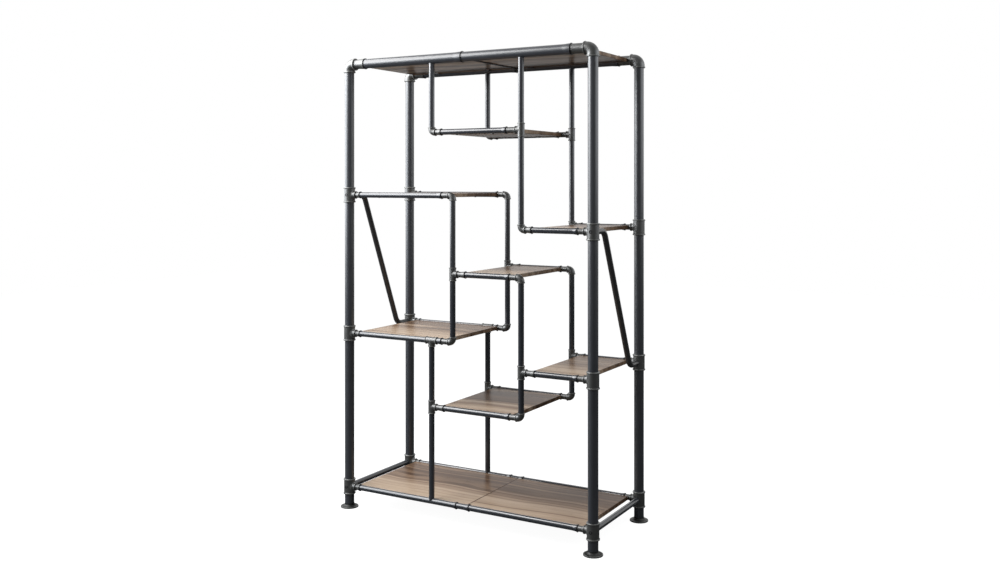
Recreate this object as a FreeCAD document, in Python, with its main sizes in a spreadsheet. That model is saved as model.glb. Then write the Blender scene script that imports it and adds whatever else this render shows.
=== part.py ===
# Pipe shelving unit: four flanged posts, seven staggered shelves on thin tube frames between a top and
# a bottom shelf, and a bent brace on each side. Millimetres, +Z up, X along the width, Y from front to
# back. The origin lies on the floor under the middle of the unit.
import FreeCAD, Part
import os
import re

import Sketcher

# Driving dimensions. A level is the height of a rail's axis, a reach is measured from the axis of a
# fitting to its mouth, and a neck is the bare tube between that mouth and a bell.
SIZES = (
    # Overall frame
    ("post_spacing_width", 1094.0),
    ("post_spacing_depth", 428.0),
    ("top_level", 1808.0),
    ("hanging_level", 1522.0),
    ("left_upper_level", 1276.0),
    ("right_upper_level", 1151.0),
    ("centre_level", 973.0),
    ("left_lower_level", 711.0),
    ("right_lower_level", 622.0),
    ("low_centre_level", 452.0),
    ("bottom_level", 85.0),
    # Tubes and the fits between them
    ("post_tube_od", 38.0),
    ("post_tube_wall", 1.5),
    ("shelf_tube_od", 22.0),
    ("shelf_tube_wall", 1.2),
    ("fit_clearance", 0.15),
    ("overrun", 1.0),
    # Floor flanges
    ("flange_od", 72.0),
    ("flange_rim_height", 5.0),
    ("flange_edge_chamfer", 1.2),
    ("flange_flare_round", 11.0),
    ("flange_spigot_length", 14.0),
    # Post tees
    ("tee_wall", 3.35),
    ("tee_bead_height", 2.25),
    ("tee_bead_width", 6.0),
    ("tee_half_height", 31.0),
    ("tee_web_half", 13.0),
    ("tee_waist_bore", 24.0),
    ("branch_wall", 3.0),
    ("branch_reach", 35.0),
    ("branch_neck", 1.4),
    ("bead_chamfer", 1.0),
    # Top elbows
    ("top_elbow_reach", 33.0),
    ("top_elbow_neck", 13.4),
    ("top_elbow_bend", 24.0),
    ("top_elbow_socket_depth", 13.0),
    # Shelf tees and shelf elbows
    ("shelf_fitting_wall", 2.0),
    ("shelf_bead_height", 1.6),
    ("shelf_bead_width", 4.2),
    ("shelf_fitting_bore", 17.0),
    ("shelf_socket_depth", 9.0),
    ("shelf_tee_half_height", 26.0),
    ("shelf_tee_reach", 24.0),
    ("shelf_tee_neck", 14.4),
    ("shelf_elbow_reach", 20.0),
    ("shelf_elbow_neck", 5.9),
    ("shelf_elbow_bend", 14.5),
    # Belled joints: every bell has its mouth to the right
    ("bell_length", 20.0),
    ("bell_wall", 1.35),
    ("bell_taper", 1.6),
    ("top_bell_length", 35.0),
    ("rail_tee_gap", 1.9),
    ("coupling_length", 57.0),
    ("coupling_offset", 26.0),
    # Side rails, braces and their cross bolts
    ("brace_corner_reach", 95.0),
    ("brace_bend", 40.0),
    ("bolt_od", 8.0),
    ("bolt_head_od", 13.0),
    ("bolt_head_height", 4.0),
    ("bolt_head_recess", 1.0),
    ("bolt_grip", 16.0),
    ("plug_length", 22.0),
    ("plug_setback", 0.6),
    # Shelf boards and the tabs under them
    ("board_thickness", 15.0),
    ("board_clearance", 0.4),
    ("board_end_inset", 42.0),
    ("board_seam_offset", 15.0),
    ("board_seam_gap", 0.6),
    ("tab_width", 24.0),
    ("tab_thickness", 2.5),
    ("tab_overhang", 22.0),
)

# Shares of the post spacing at which the uprights stand, and of a rail's bare stretch for its tabs
HANGER_SHARE = 0.3693
INNER_SHARE = 0.7326
TAB_PLACE_SHARES = (0.2, 0.8)

# Distances of the bells' mouths from the axes of the fittings
POST_MOUTH = "(branch_reach + branch_neck + bell_taper + bell_length)"
TEE_MOUTH = "(shelf_tee_reach + shelf_tee_neck + bell_taper + bell_length)"
ELBOW_MOUTH = "(shelf_elbow_reach + shelf_elbow_neck + bell_taper + bell_length)"
TOP_MOUTH = "(top_elbow_reach + top_elbow_neck + bell_taper + top_bell_length)"

# Places along X and Y that the pieces have in common
LEFT = "(-post_spacing_width / 2)"
RIGHT = "(post_spacing_width / 2)"
HANGER = f"({HANGER_SHARE} * post_spacing_width - post_spacing_width / 2)"
INNER = f"({INNER_SHARE} * post_spacing_width - post_spacing_width / 2)"
MIDDLE = f"({HANGER} + shelf_tee_half_height + rail_tee_gap + bell_taper + bell_length + {ELBOW_MOUTH})"
FRONT = "(-post_spacing_depth / 2)"
BACK = "(post_spacing_depth / 2)"
CORNERS = ((LEFT, FRONT), (RIGHT, FRONT), (LEFT, BACK), (RIGHT, BACK))

# Radii that the fits follow
POST_RADIUS = "(post_tube_od / 2)"
SHELF_RADIUS = "(shelf_tube_od / 2)"
POST_BORE = "(post_tube_od / 2 - post_tube_wall)"
SHELF_BORE = "(shelf_tube_od / 2 - shelf_tube_wall)"
TEE_RADIUS = "(post_tube_od / 2 + fit_clearance + tee_wall)"
BRANCH_RADIUS = "(shelf_tube_od / 2 + branch_wall)"
SHELF_FITTING_RADIUS = "(shelf_tube_od / 2 + fit_clearance + shelf_fitting_wall)"
FITTING_BORE = "(shelf_fitting_bore / 2)"
WAIST_BORE = "(tee_waist_bore / 2)"

AXIS_X = FreeCAD.Vector(1, 0, 0)
AXIS_Y = FreeCAD.Vector(0, 1, 0)
AXIS_Z = FreeCAD.Vector(0, 0, 1)
QUARTER_ANGLE = 90
HALF_ANGLE = 180
UNTURNED = (AXIS_Z, 0)
FACING_LEFT = (AXIS_Z, HALF_ANGLE)
UPSIDE_DOWN = (AXIS_X, HALF_ANGLE)
HALF_TURN_Y = (AXIS_Y, HALF_ANGLE)
ALONG_X = (AXIS_Y, QUARTER_ANGLE)
AGAINST_X = (AXIS_Y, -QUARTER_ANGLE)
ALONG_Y = (AXIS_X, -QUARTER_ANGLE)
AGAINST_Y = (AXIS_X, QUARTER_ANGLE)

doc = FreeCAD.newDocument("pipe_shelving_unit")
sheet = doc.addObject("Spreadsheet::Sheet", "Sizes")
for row, (name, value) in enumerate(SIZES, start=1):
    sheet.set(f"A{row}", name)
    sheet.set(f"B{row}", str(value))
    sheet.setAlias(f"B{row}", name)
doc.recompute()
ALIASES = {name for name, _ in SIZES}
nodes = []


def sized(formula):
    """A formula in plain size names, with each name pointed at its cell."""
    return re.sub(r"[a-z_]+", lambda word: f"Sizes.{word[0]}" if word[0] in ALIASES else word[0], formula)


def number(formula):
    """The present value of a formula."""
    return float(sheet.evalExpression(sized(formula)))


def bind(thing, **formulas):
    """Ties properties of an object to formulas."""
    for name, formula in formulas.items():
        thing.setExpression(name, sized(formula))


def place(thing, x="0", y="0", z="0", turn=UNTURNED):
    """Turns an object about its own origin and moves that origin to a place given by formulas."""
    thing.Placement = FreeCAD.Placement(FreeCAD.Vector(), FreeCAD.Rotation(*turn))
    for letter, formula in (("x", x), ("y", y), ("z", z)):
        thing.setExpression(f"Placement.Base.{letter}", sized(formula))
    return thing


def node(thing, label):
    """Takes an object as a finished sub-part with its own label."""
    thing.Label = label
    nodes.append(thing)


def copy(master, x, y, z, turn=UNTURNED):
    """One more of a piece, linked to its master."""
    link = doc.addObject("App::Link", f"{master.Name}_copy")
    link.LinkedObject = master
    return place(link, x, y, z, turn)


def group(label, copies):
    """A sub-part made of several separate copies."""
    compound = doc.addObject("Part::Compound", label)
    compound.Links = copies
    node(compound, label)


def front_and_back(master, x, z, turn=UNTURNED):
    """Two copies of a piece, one in the front frame and one in the back frame."""
    return [copy(master, x, y, z, turn) for y in (FRONT, BACK)]


# Sketches

def new_sketch(body, name, role, offset="0"):
    """A sketch on one of the body's own origin planes, or parallel to it at an offset."""
    sketch = body.newObject("Sketcher::SketchObject", f"{body.Name}_{name}")
    plane = next(feature for feature in body.Origin.OriginFeatures if feature.Role == role)
    sketch.AttachmentSupport = [(plane, "")]
    sketch.MapMode = "FlatFace"
    sketch.setExpression("AttachmentOffset.Base.z", sized(offset))
    return sketch


def fix_point(sketch, geometry, position, x=None, y=None):
    """Holds a point of a sketch at formulas measured from the sketch's origin."""
    for kind, formula, axis in (("DistanceX", x, -2), ("DistanceY", y, -1)):
        if formula is None:
            continue
        if formula == "0":
            sketch.addConstraint(Sketcher.Constraint("PointOnObject", geometry, position, axis))
            continue
        distance = Sketcher.Constraint(kind, -1, 1, geometry, position, number(formula))
        index = sketch.addConstraint(distance)
        sketch.setExpression(f"Constraints[{index}]", sized(formula))


def add_circle(sketch, radius, y="0"):
    """A circle centred on the sketch's vertical axis."""
    centre = FreeCAD.Vector(0, number(y), 0)
    circle = sketch.addGeometry(Part.Circle(centre, AXIS_Z, number(radius)), False)
    fix_point(sketch, circle, 3, "0", y)
    index = sketch.addConstraint(Sketcher.Constraint("Radius", circle, number(radius)))
    sketch.setExpression(f"Constraints[{index}]", sized(radius))


def add_outline(sketch, corners, arcs=None, closed=True):
    """Draws an outline through corners given as pairs of formulas.

    arcs maps the number of a side to (centre x, centre y, clockwise, loose): that side is an arc about
    the centre, and the loose coordinate of its far corner follows from the arc.
    """
    arcs = arcs or {}
    points = [FreeCAD.Vector(number(x), number(y), 0) for x, y in corners]
    count = len(corners)
    sides = []
    for side in range(count if closed else count - 1):
        start = points[side]
        end = points[(side + 1) % count]
        if side not in arcs:
            sides.append((sketch.addGeometry(Part.LineSegment(start, end), False), 1, 2))
            continue
        centre_x, centre_y, clockwise, _ = arcs[side]
        centre = FreeCAD.Vector(number(centre_x), number(centre_y), 0)
        circle = Part.Circle(centre, AXIS_Z, (start - centre).Length)
        first, last = (end, start) if clockwise else (start, end)
        arc = Part.ArcOfCircle(circle, circle.parameter(first), circle.parameter(last))
        geometry = sketch.addGeometry(arc, False)
        sides.append((geometry, 2, 1) if clockwise else (geometry, 1, 2))
    for side in range(len(sides) if closed else len(sides) - 1):
        geometry, _, far = sides[side]
        following, near, _ = sides[(side + 1) % len(sides)]
        sketch.addConstraint(Sketcher.Constraint("Coincident", geometry, far, following, near))
    for side, (centre_x, centre_y, _, _) in arcs.items():
        fix_point(sketch, sides[side][0], 3, centre_x, centre_y)
    for corner, (x, y) in enumerate(corners):
        loose = arcs[corner - 1][3] if corner - 1 in arcs else ""
        geometry, position, far = sides[min(corner, len(sides) - 1)]
        position = position if corner < len(sides) else far
        fix_point(sketch, geometry, position, None if loose == "x" else x, None if loose == "y" else y)


# Features

def revolve(body, name, axis, corners, arcs=None, cut=False, role="XZ_Plane"):
    """Turns an outline about an axis of its sketch, to add material or to cut a groove."""
    sketch = new_sketch(body, f"{name}_outline", role)
    add_outline(sketch, corners, arcs)
    kind = "PartDesign::Groove" if cut else "PartDesign::Revolution"
    feature = body.newObject(kind, f"{body.Name}_{name}")
    feature.Profile = sketch
    feature.ReferenceAxis = (sketch, [axis])
    feature.Angle = 360


def swap(corners):
    """The same outline with its axes exchanged."""
    return [(y, x) for x, y in corners]


def tube(name, radius, bore, length):
    """A straight tube standing on its own origin."""
    body = doc.addObject("PartDesign::Body", name)
    section = new_sketch(body, "section", "XY_Plane")
    add_circle(section, radius)
    add_circle(section, bore)
    pad = body.newObject("PartDesign::Pad", f"{name}_pad")
    pad.Profile = section
    bind(pad, Length=length)
    return body


def coped(name, base, radius, length, cutters):
    """A piece cut to the round of what it meets.

    cutters holds (turn, x, y, z) of each cutting cylinder's near end, in the piece's own frame.
    """
    cylinders = []
    for turn, x, y, z in cutters:
        cylinder = doc.addObject("Part::Cylinder", f"{name}_cutter")
        bind(cylinder, Radius=f"{radius} + fit_clearance", Height=length)
        cylinders.append(place(cylinder, x, y, z, turn))
    tool = doc.addObject("Part::Compound", f"{name}_cutters")
    tool.Links = cylinders
    cut = doc.addObject("Part::Cut", name)
    cut.Base = base
    cut.Tool = tool
    return cut


# Fittings

def bead(mouth, radius, height, width):
    """Corners (along, radius) of a chamfered bead, from the mouth of a fitting back to its body."""
    top = f"{radius} + {height}"
    return [
        (mouth, f"{top} - bead_chamfer"),
        (f"{mouth} - bead_chamfer", top),
        (f"{mouth} - {width} + bead_chamfer", top),
        (f"{mouth} - {width}", radius),
    ]


def beaded_run(body, half, radius, height, width):
    """A round body along Z with a bead at each end."""
    upper = bead(half, radius, height, width)
    lower = [(f"-({along})", out) for along, out in upper]
    corners = [(f"-{half}", "0")] + lower + upper[::-1] + [(half, "0")]
    revolve(body, "run", "V_Axis", swap(corners))


def socketed_run(body, half, web, tube_radius, bore):
    """Cuts a stepped bore along Z: a socket at each end and a narrower waist between the shoulders."""
    wide = f"{tube_radius} + fit_clearance"
    mouth = f"({half} + overrun)"
    steps = [(web, bore), (web, wide), (mouth, wide), (mouth, "0")]
    corners = [(f"-{along}", out) for along, out in steps[::-1]] + steps
    revolve(body, "run_bore", "V_Axis", swap(corners), cut=True)


def arm(body, start, reach, radius, height, width, tube_radius, mouth, bell, belled):
    """An arm along X with a beaded mouth and a stub of tube size, which ends in a bell or goes into one.

    mouth is the place of the bell's mouth, and bell is the length of the bell.
    """
    if belled:
        wide = f"({tube_radius} + fit_clearance + bell_wall)"
        stub = [(mouth, "0"), (mouth, wide), (f"{mouth} - {bell}", wide)]
        stub += [(f"{mouth} - {bell} - bell_taper", tube_radius)]
    else:
        end = f"{mouth} + {bell}"
        stub = [(end, "0"), (end, tube_radius)]
    corners = [(start, "0")] + stub + [(reach, tube_radius)]
    corners += bead(reach, radius, height, width) + [(start, radius)]
    revolve(body, "arm", "H_Axis", corners)


def arm_bore(body, start, bore, tube_radius, mouth, bell, belled):
    """Cuts the bore of an arm, and the socket in its bell if it has one."""
    if belled:
        end = f"{mouth} + overrun"
        shoulder = f"{mouth} - {bell}"
        wide = f"{tube_radius} + fit_clearance"
        walls = [(end, wide), (shoulder, wide), (shoulder, bore)]
    else:
        end = f"{mouth} + {bell} + overrun"
        walls = [(end, bore)]
    revolve(body, "arm_bore", "H_Axis", [(start, "0"), (end, "0")] + walls + [(start, bore)], cut=True)


def post_tee(name, bolted, belled):
    """Cast tee on a post: a run along Z, an arm along +X and, if bolted, a bolt hole along Y."""
    body = doc.addObject("PartDesign::Body", name)
    beaded_run(body, "tee_half_height", TEE_RADIUS, "tee_bead_height", "tee_bead_width")
    arm(
        body, "0", "branch_reach", BRANCH_RADIUS, "shelf_bead_height", "shelf_bead_width", SHELF_RADIUS,
        POST_MOUTH, "bell_length", belled,
    )
    socketed_run(body, "tee_half_height", "tee_web_half", POST_RADIUS, WAIST_BORE)
    arm_bore(body, "0", FITTING_BORE, SHELF_RADIUS, POST_MOUTH, "bell_length", belled)
    if bolted:
        outside = f"({TEE_RADIUS} + overrun)"
        seat = f"({TEE_RADIUS} - bolt_head_recess - bolt_head_height)"
        wide = "bolt_head_od / 2 + fit_clearance"
        narrow = "bolt_od / 2 + fit_clearance"
        hole = [("0", f"-{outside}"), (wide, f"-{outside}"), (wide, f"-{seat}"), (narrow, f"-{seat}")]
        hole += [(narrow, outside), ("0", outside)]
        revolve(body, "bolt_hole", "V_Axis", hole, cut=True, role="XY_Plane")
    return body


def shelf_tee(name, belled):
    """Small cast tee: a run along Z with two sockets, and an arm along +X."""
    body = doc.addObject("PartDesign::Body", name)
    beaded_run(body, "shelf_tee_half_height", SHELF_FITTING_RADIUS, "shelf_bead_height", "shelf_bead_width")
    arm(
        body, "0", "shelf_tee_reach", SHELF_FITTING_RADIUS, "shelf_bead_height", "shelf_bead_width",
        SHELF_RADIUS, TEE_MOUTH, "bell_length", belled,
    )
    socketed_run(body, "shelf_tee_half_height", TEE_SEAT, SHELF_RADIUS, FITTING_BORE)
    arm_bore(body, "0", FITTING_BORE, SHELF_RADIUS, TEE_MOUTH, "bell_length", belled)
    return body


def rail_tee():
    """Small cast tee with a socket at each of its three mouths: a run along Z and an arm along +X."""
    body = doc.addObject("PartDesign::Body", "rail_tee")
    wide = f"{SHELF_RADIUS} + fit_clearance"
    mouth = "shelf_tee_reach + overrun"
    beaded_run(body, "shelf_tee_half_height", SHELF_FITTING_RADIUS, "shelf_bead_height", "shelf_bead_width")
    arm = bead("shelf_tee_reach", SHELF_FITTING_RADIUS, "shelf_bead_height", "shelf_bead_width")
    arm = [("0", "0"), ("shelf_tee_reach", "0")] + arm + [("0", SHELF_FITTING_RADIUS)]
    revolve(body, "arm", "H_Axis", arm)
    socketed_run(body, "shelf_tee_half_height", TEE_SEAT, SHELF_RADIUS, FITTING_BORE)
    socket = [("0", "0"), (mouth, "0"), (mouth, wide), (ARM_SEAT, wide), (ARM_SEAT, FITTING_BORE)]
    revolve(body, "arm_socket", "H_Axis", socket + [("0", FITTING_BORE)], cut=True)
    return body


def elbow(name, reach, bend, radius, bead_height, bead_width, tube_radius, bore, seat, mouth, bell, belled):
    """Cast quarter bend: an arm along +X and a socket along +Z."""
    body = doc.addObject("PartDesign::Body", name)
    spine = new_sketch(body, "spine", "XZ_Plane")
    path = [(reach, "0"), (bend, "0"), ("0", bend), ("0", reach)]
    add_outline(spine, path, {1: (bend, bend, True, "x")}, closed=False)
    for kind, size, label in (("Additive", radius, "bend"), ("Subtractive", bore, "bend_bore")):
        section = new_sketch(body, f"{label}_section", "YZ_Plane", reach)
        add_circle(section, size)
        pipe = body.newObject(f"PartDesign::{kind}Pipe", f"{name}_{label}")
        pipe.Profile = section
        pipe.Spine = spine
        if kind == "Additive":
            arm(body, bend, reach, radius, bead_height, bead_width, tube_radius, mouth, bell, belled)
            collar = [(bend, "0"), (reach, "0")] + bead(reach, radius, bead_height, bead_width)
            revolve(body, "socket_mouth", "V_Axis", swap(collar + [(bend, radius)]))
    arm_bore(body, bend, bore, tube_radius, mouth, bell, belled)
    wide = f"{tube_radius} + fit_clearance"
    end = f"{reach} + overrun"
    socket = [(seat, "0"), (end, "0"), (end, wide), (seat, wide)]
    revolve(body, "socket", "V_Axis", swap(socket), cut=True)
    return body


def foot_flange():
    """Cast floor flange: a disc that flares up to the post's diameter, and a spigot inside the tube."""
    body = doc.addObject("PartDesign::Body", "foot_flange")
    rim = "(flange_od / 2)"
    spigot = f"{POST_BORE} - fit_clearance"
    spigot_top = f"{FLANGE_TOP} + flange_spigot_length"
    flare_foot = f"{POST_RADIUS} + flange_flare_round"
    corners = [
        ("0", "0"),
        (rim, "0"),
        (rim, "flange_rim_height - flange_edge_chamfer"),
        (f"{rim} - flange_edge_chamfer", "flange_rim_height"),
        (flare_foot, "flange_rim_height"),
        (POST_RADIUS, FLANGE_TOP),
        (spigot, FLANGE_TOP),
        (spigot, spigot_top),
        ("0", spigot_top),
    ]
    revolve(body, "casting", "V_Axis", corners, {4: (flare_foot, FLANGE_TOP, True, "x")})
    return body


def cross_bolt():
    """Bolt along +Y from the outside of its head, through a tee and into an end plug."""
    body = doc.addObject("PartDesign::Body", "cross_bolt")
    tip = f"2 * {TEE_RADIUS} - bolt_head_recess + bolt_grip"
    corners = [
        ("0", "0"),
        ("bolt_head_od / 2", "0"),
        ("bolt_head_od / 2", "bolt_head_height"),
        ("bolt_od / 2", "bolt_head_height"),
        ("bolt_od / 2", tip),
        ("0", tip),
    ]
    revolve(body, "turned", "V_Axis", corners, role="XY_Plane")
    return body


# Seats: how far from a fitting's axis the end of a tube stands
FLANGE_TOP = "(flange_rim_height + flange_flare_round)"
TOP_SEAT = "(top_elbow_reach - top_elbow_socket_depth)"
TEE_SEAT = "(shelf_tee_half_height - shelf_socket_depth)"
ARM_SEAT = "(shelf_tee_reach - shelf_socket_depth)"
ELBOW_SEAT = "(shelf_elbow_reach - shelf_socket_depth)"

# Posts

flange = foot_flange()


def tee_turn(x, y):
    """Turn that points a tee's arm at the middle of the unit and its bolt head outwards."""
    if x == LEFT:
        return UNTURNED if y == FRONT else UPSIDE_DOWN
    return HALF_TURN_Y if y == FRONT else FACING_LEFT


def post_tees(label, x, level, front, back):
    """The tees at one level of a side's front and back posts."""
    tees = ((FRONT, front), (BACK, back))
    group(label, [copy(tee, x, y, level, tee_turn(x, y)) for y, tee in tees])


def post_tubes(label, x, low, low_seat, high, high_seat):
    """The tubes of a side's front and back posts between two fittings."""
    pipe = tube(f"{label}_tube", POST_RADIUS, POST_BORE, f"{high} - {high_seat} - {low} - {low_seat}")
    group(label, front_and_back(pipe, x, f"{low} + {low_seat}"))


nipple = tube("nipple", POST_RADIUS, POST_BORE, f"bottom_level - tee_web_half - {FLANGE_TOP}")
group("foot_flanges", [copy(flange, x, y, "0") for x, y in CORNERS])
group("foot_nipples", [copy(nipple, x, y, FLANGE_TOP) for x, y in CORNERS])

# The brace of each side is bolted to the front post's upper tee and to the back post's lower tee
for side, x, turn in (("left", LEFT, UPSIDE_DOWN), ("right", RIGHT, HALF_TURN_Y)):
    belled = side == "left"
    plain_tee = post_tee(f"{side}_post_tee", bolted=False, belled=belled)
    bolted_tee = post_tee(f"{side}_bolted_tee", bolted=True, belled=belled)
    top_elbow = elbow(
        f"{side}_top_elbow", "top_elbow_reach", "top_elbow_bend", TEE_RADIUS, "tee_bead_height",
        "tee_bead_width", POST_RADIUS, WAIST_BORE, TOP_SEAT, TOP_MOUTH, "top_bell_length", belled,
    )
    lower = f"{side}_lower_level"
    upper = f"{side}_upper_level"
    post_tees(f"{side}_bottom_post_tees", x, "bottom_level", bolted_tee, bolted_tee)
    post_tees(f"{side}_lower_post_tees", x, lower, plain_tee, bolted_tee)
    post_tees(f"{side}_upper_post_tees", x, upper, bolted_tee, plain_tee)
    post_tubes(f"{side}_lower_posts", x, "bottom_level", "tee_web_half", lower, "tee_web_half")
    post_tubes(f"{side}_middle_posts", x, lower, "tee_web_half", upper, "tee_web_half")
    post_tubes(f"{side}_upper_posts", x, upper, "tee_web_half", "top_level", TOP_SEAT)
    group(f"{side}_top_elbows", front_and_back(top_elbow, x, "top_level", turn))

# Rails, each with a plain end on its left and a bell on its right

SHELVES = (
    ("hanging", HANGER, ELBOW_MOUTH, INNER, TEE_MOUTH),
    ("left_upper", LEFT, POST_MOUTH, MIDDLE, ELBOW_MOUTH),
    ("right_upper", INNER, ELBOW_MOUTH, RIGHT, POST_MOUTH),
    ("centre", MIDDLE, TEE_MOUTH, INNER, ELBOW_MOUTH),
    ("right_lower", INNER, TEE_MOUTH, RIGHT, POST_MOUTH),
    ("low_centre", HANGER, TEE_MOUTH, INNER, ELBOW_MOUTH),
)


def belled_rail(name, length, bell, tube_radius, bore):
    """A rail along Z from the mouth of its bell to its plain end."""
    fit = f"({tube_radius} + fit_clearance)"
    wide = f"({fit} + bell_wall)"
    corners = [
        (fit, "0"),
        (wide, "0"),
        (wide, bell),
        (tube_radius, f"{bell} + bell_taper"),
        (tube_radius, length),
        (bore, length),
        (bore, bell),
        (fit, bell),
    ]
    body = doc.addObject("PartDesign::Body", name)
    revolve(body, "wall", "V_Axis", corners)
    return body


def rails(label, level, start, end, bell="bell_length", tube_radius=SHELF_RADIUS, bore=SHELF_BORE):
    """A pair of rails from a plain end at one place to the mouth of a bell at another."""
    rail = belled_rail(f"{label}_tube", f"({end} - {start})", bell, tube_radius, bore)
    group(label, front_and_back(rail, end, level, AGAINST_X))


for name, start, start_mouth, end, end_mouth in SHELVES:
    first = f"({start} + {start_mouth} - bell_length)"
    rails(f"{name}_shelf_rails", f"{name}_level", first, f"({end} - {end_mouth})")

# The left lower rails stop at a tee, which carries the upright under them
post_shoulder = f"({LEFT} + {POST_MOUTH} - bell_length)"
outer = tube(
    "left_lower_outer_rail", SHELF_RADIUS, SHELF_BORE, f"{HANGER} - {TEE_SEAT} - {post_shoulder}"
)
group("left_lower_outer_rails", front_and_back(outer, post_shoulder, "left_lower_level", ALONG_X))
seat = f"({HANGER} + {TEE_SEAT})"
rails("left_lower_inner_rails", "left_lower_level", seat, f"({MIDDLE} - {ELBOW_MOUTH})")

# The top rail comes in halves, and the bottom rail in halves with a short belled piece between them
top_pipe = ("top_bell_length", POST_RADIUS, POST_BORE)
top_shoulder = f"({LEFT} + {TOP_MOUTH} - top_bell_length)"
rails("left_top_rails", "top_level", top_shoulder, "0", *top_pipe)
rails("right_top_rails", "top_level", "(-top_bell_length)", f"({RIGHT} - {TOP_MOUTH})", *top_pipe)
LEFT_JOINT = "(-coupling_offset)"
RIGHT_JOINT = "(coupling_length - coupling_offset)"
rails("left_bottom_rails", "bottom_level", post_shoulder, LEFT_JOINT)
rails("bottom_rail_couplings", "bottom_level", f"({LEFT_JOINT} - bell_length)", RIGHT_JOINT)
rails("right_bottom_rails", "bottom_level", f"({RIGHT_JOINT} - bell_length)", f"({RIGHT} - {POST_MOUTH})")

# Uprights and hangers of the shelf frames


def uprights(label, x, low, low_seat, high, high_seat):
    """A pair of uprights between the shoulders of two fittings."""
    length = f"{high} - {high_seat} - {low} - {low_seat}"
    pipe = tube(f"{label}_tube", SHELF_RADIUS, SHELF_BORE, length)
    group(label, front_and_back(pipe, x, f"{low} + {low_seat}"))


def coped_uprights(label, x, z, length, cut_height, cut_radius):
    """A pair of uprights with one end cut to the round of the rail that it is welded to."""
    blank = tube(f"{label}_tube", SHELF_RADIUS, SHELF_BORE, length)
    cutter = (ALONG_X, "-shelf_tube_od", "0", cut_height)
    pipe = coped(f"{label}_cut", blank, cut_radius, "2 * shelf_tube_od", [cutter])
    group(label, front_and_back(pipe, x, z))


for label, x, seat in (("left_hangers", HANGER, ELBOW_SEAT), ("right_hangers", INNER, TEE_SEAT)):
    length = f"(top_level - hanging_level - {seat})"
    coped_uprights(label, x, f"hanging_level + {seat}", length, length, POST_RADIUS)
uprights("right_hanger_extensions", INNER, "right_upper_level", ELBOW_SEAT, "hanging_level", TEE_SEAT)
uprights("middle_upper_uprights", MIDDLE, "centre_level", TEE_SEAT, "left_upper_level", ELBOW_SEAT)
uprights("middle_lower_uprights", MIDDLE, "left_lower_level", ELBOW_SEAT, "centre_level", TEE_SEAT)
uprights("inner_upper_uprights", INNER, "right_lower_level", TEE_SEAT, "centre_level", ELBOW_SEAT)
uprights("inner_lower_uprights", INNER, "low_centre_level", ELBOW_SEAT, "right_lower_level", TEE_SEAT)
uprights("left_upper_uprights", HANGER, "low_centre_level", TEE_SEAT, "left_lower_level", ARM_SEAT)
length = f"low_centre_level - {TEE_SEAT} - bottom_level"
coped_uprights("left_lower_uprights", HANGER, "bottom_level", length, "0", SHELF_RADIUS)

belled_elbow, stub_elbow = [
    elbow(
        name, "shelf_elbow_reach", "shelf_elbow_bend", SHELF_FITTING_RADIUS, "shelf_bead_height",
        "shelf_bead_width", SHELF_RADIUS, FITTING_BORE, ELBOW_SEAT, ELBOW_MOUTH, "bell_length", belled,
    )
    for name, belled in (("belled_elbow", True), ("stub_elbow", False))
]
elbow_places = (
    (belled_elbow, HANGER, "hanging_level", UNTURNED),
    (belled_elbow, INNER, "right_upper_level", UNTURNED),
    (stub_elbow, MIDDLE, "left_upper_level", HALF_TURN_Y),
    (stub_elbow, INNER, "centre_level", HALF_TURN_Y),
    (stub_elbow, MIDDLE, "left_lower_level", FACING_LEFT),
    (stub_elbow, INNER, "low_centre_level", FACING_LEFT),
)
belled_tee = shelf_tee("belled_tee", belled=True)
tee_places = (
    (shelf_tee("stub_tee", belled=False), INNER, "hanging_level", FACING_LEFT),
    (belled_tee, MIDDLE, "centre_level", UNTURNED),
    (belled_tee, INNER, "right_lower_level", UNTURNED),
    (belled_tee, HANGER, "low_centre_level", UNTURNED),
    (rail_tee(), HANGER, "left_lower_level", ALONG_X),
)
elbows = []
for master, x, level, turn in elbow_places:
    elbows += front_and_back(master, x, level, turn)
group("shelf_elbows", elbows)
tees = []
for master, x, level, turn in tee_places:
    tees += front_and_back(master, x, level, turn)
group("shelf_tees", tees)

# Side rails and braces, drawn against the tees by cross bolts in end plugs

SIDE_START = f"({TEE_RADIUS} - {SHELF_RADIUS})"
POST_CUT = "2 * tee_half_height"


def side_rail(label, x):
    """Tube along Y between the bottom tees of one side's front and back posts."""
    blank = tube(f"{label}_tube", SHELF_RADIUS, SHELF_BORE, f"post_spacing_depth - 2 * {SIDE_START}")
    place(blank, "0", f"{FRONT} + {SIDE_START}", "0", ALONG_Y)
    cutters = [(UNTURNED, "0", y, "-tee_half_height") for y in (FRONT, BACK)]
    rail = coped(label, blank, TEE_RADIUS, POST_CUT, cutters)
    node(place(rail, x, "0", "bottom_level"), label)


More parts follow.
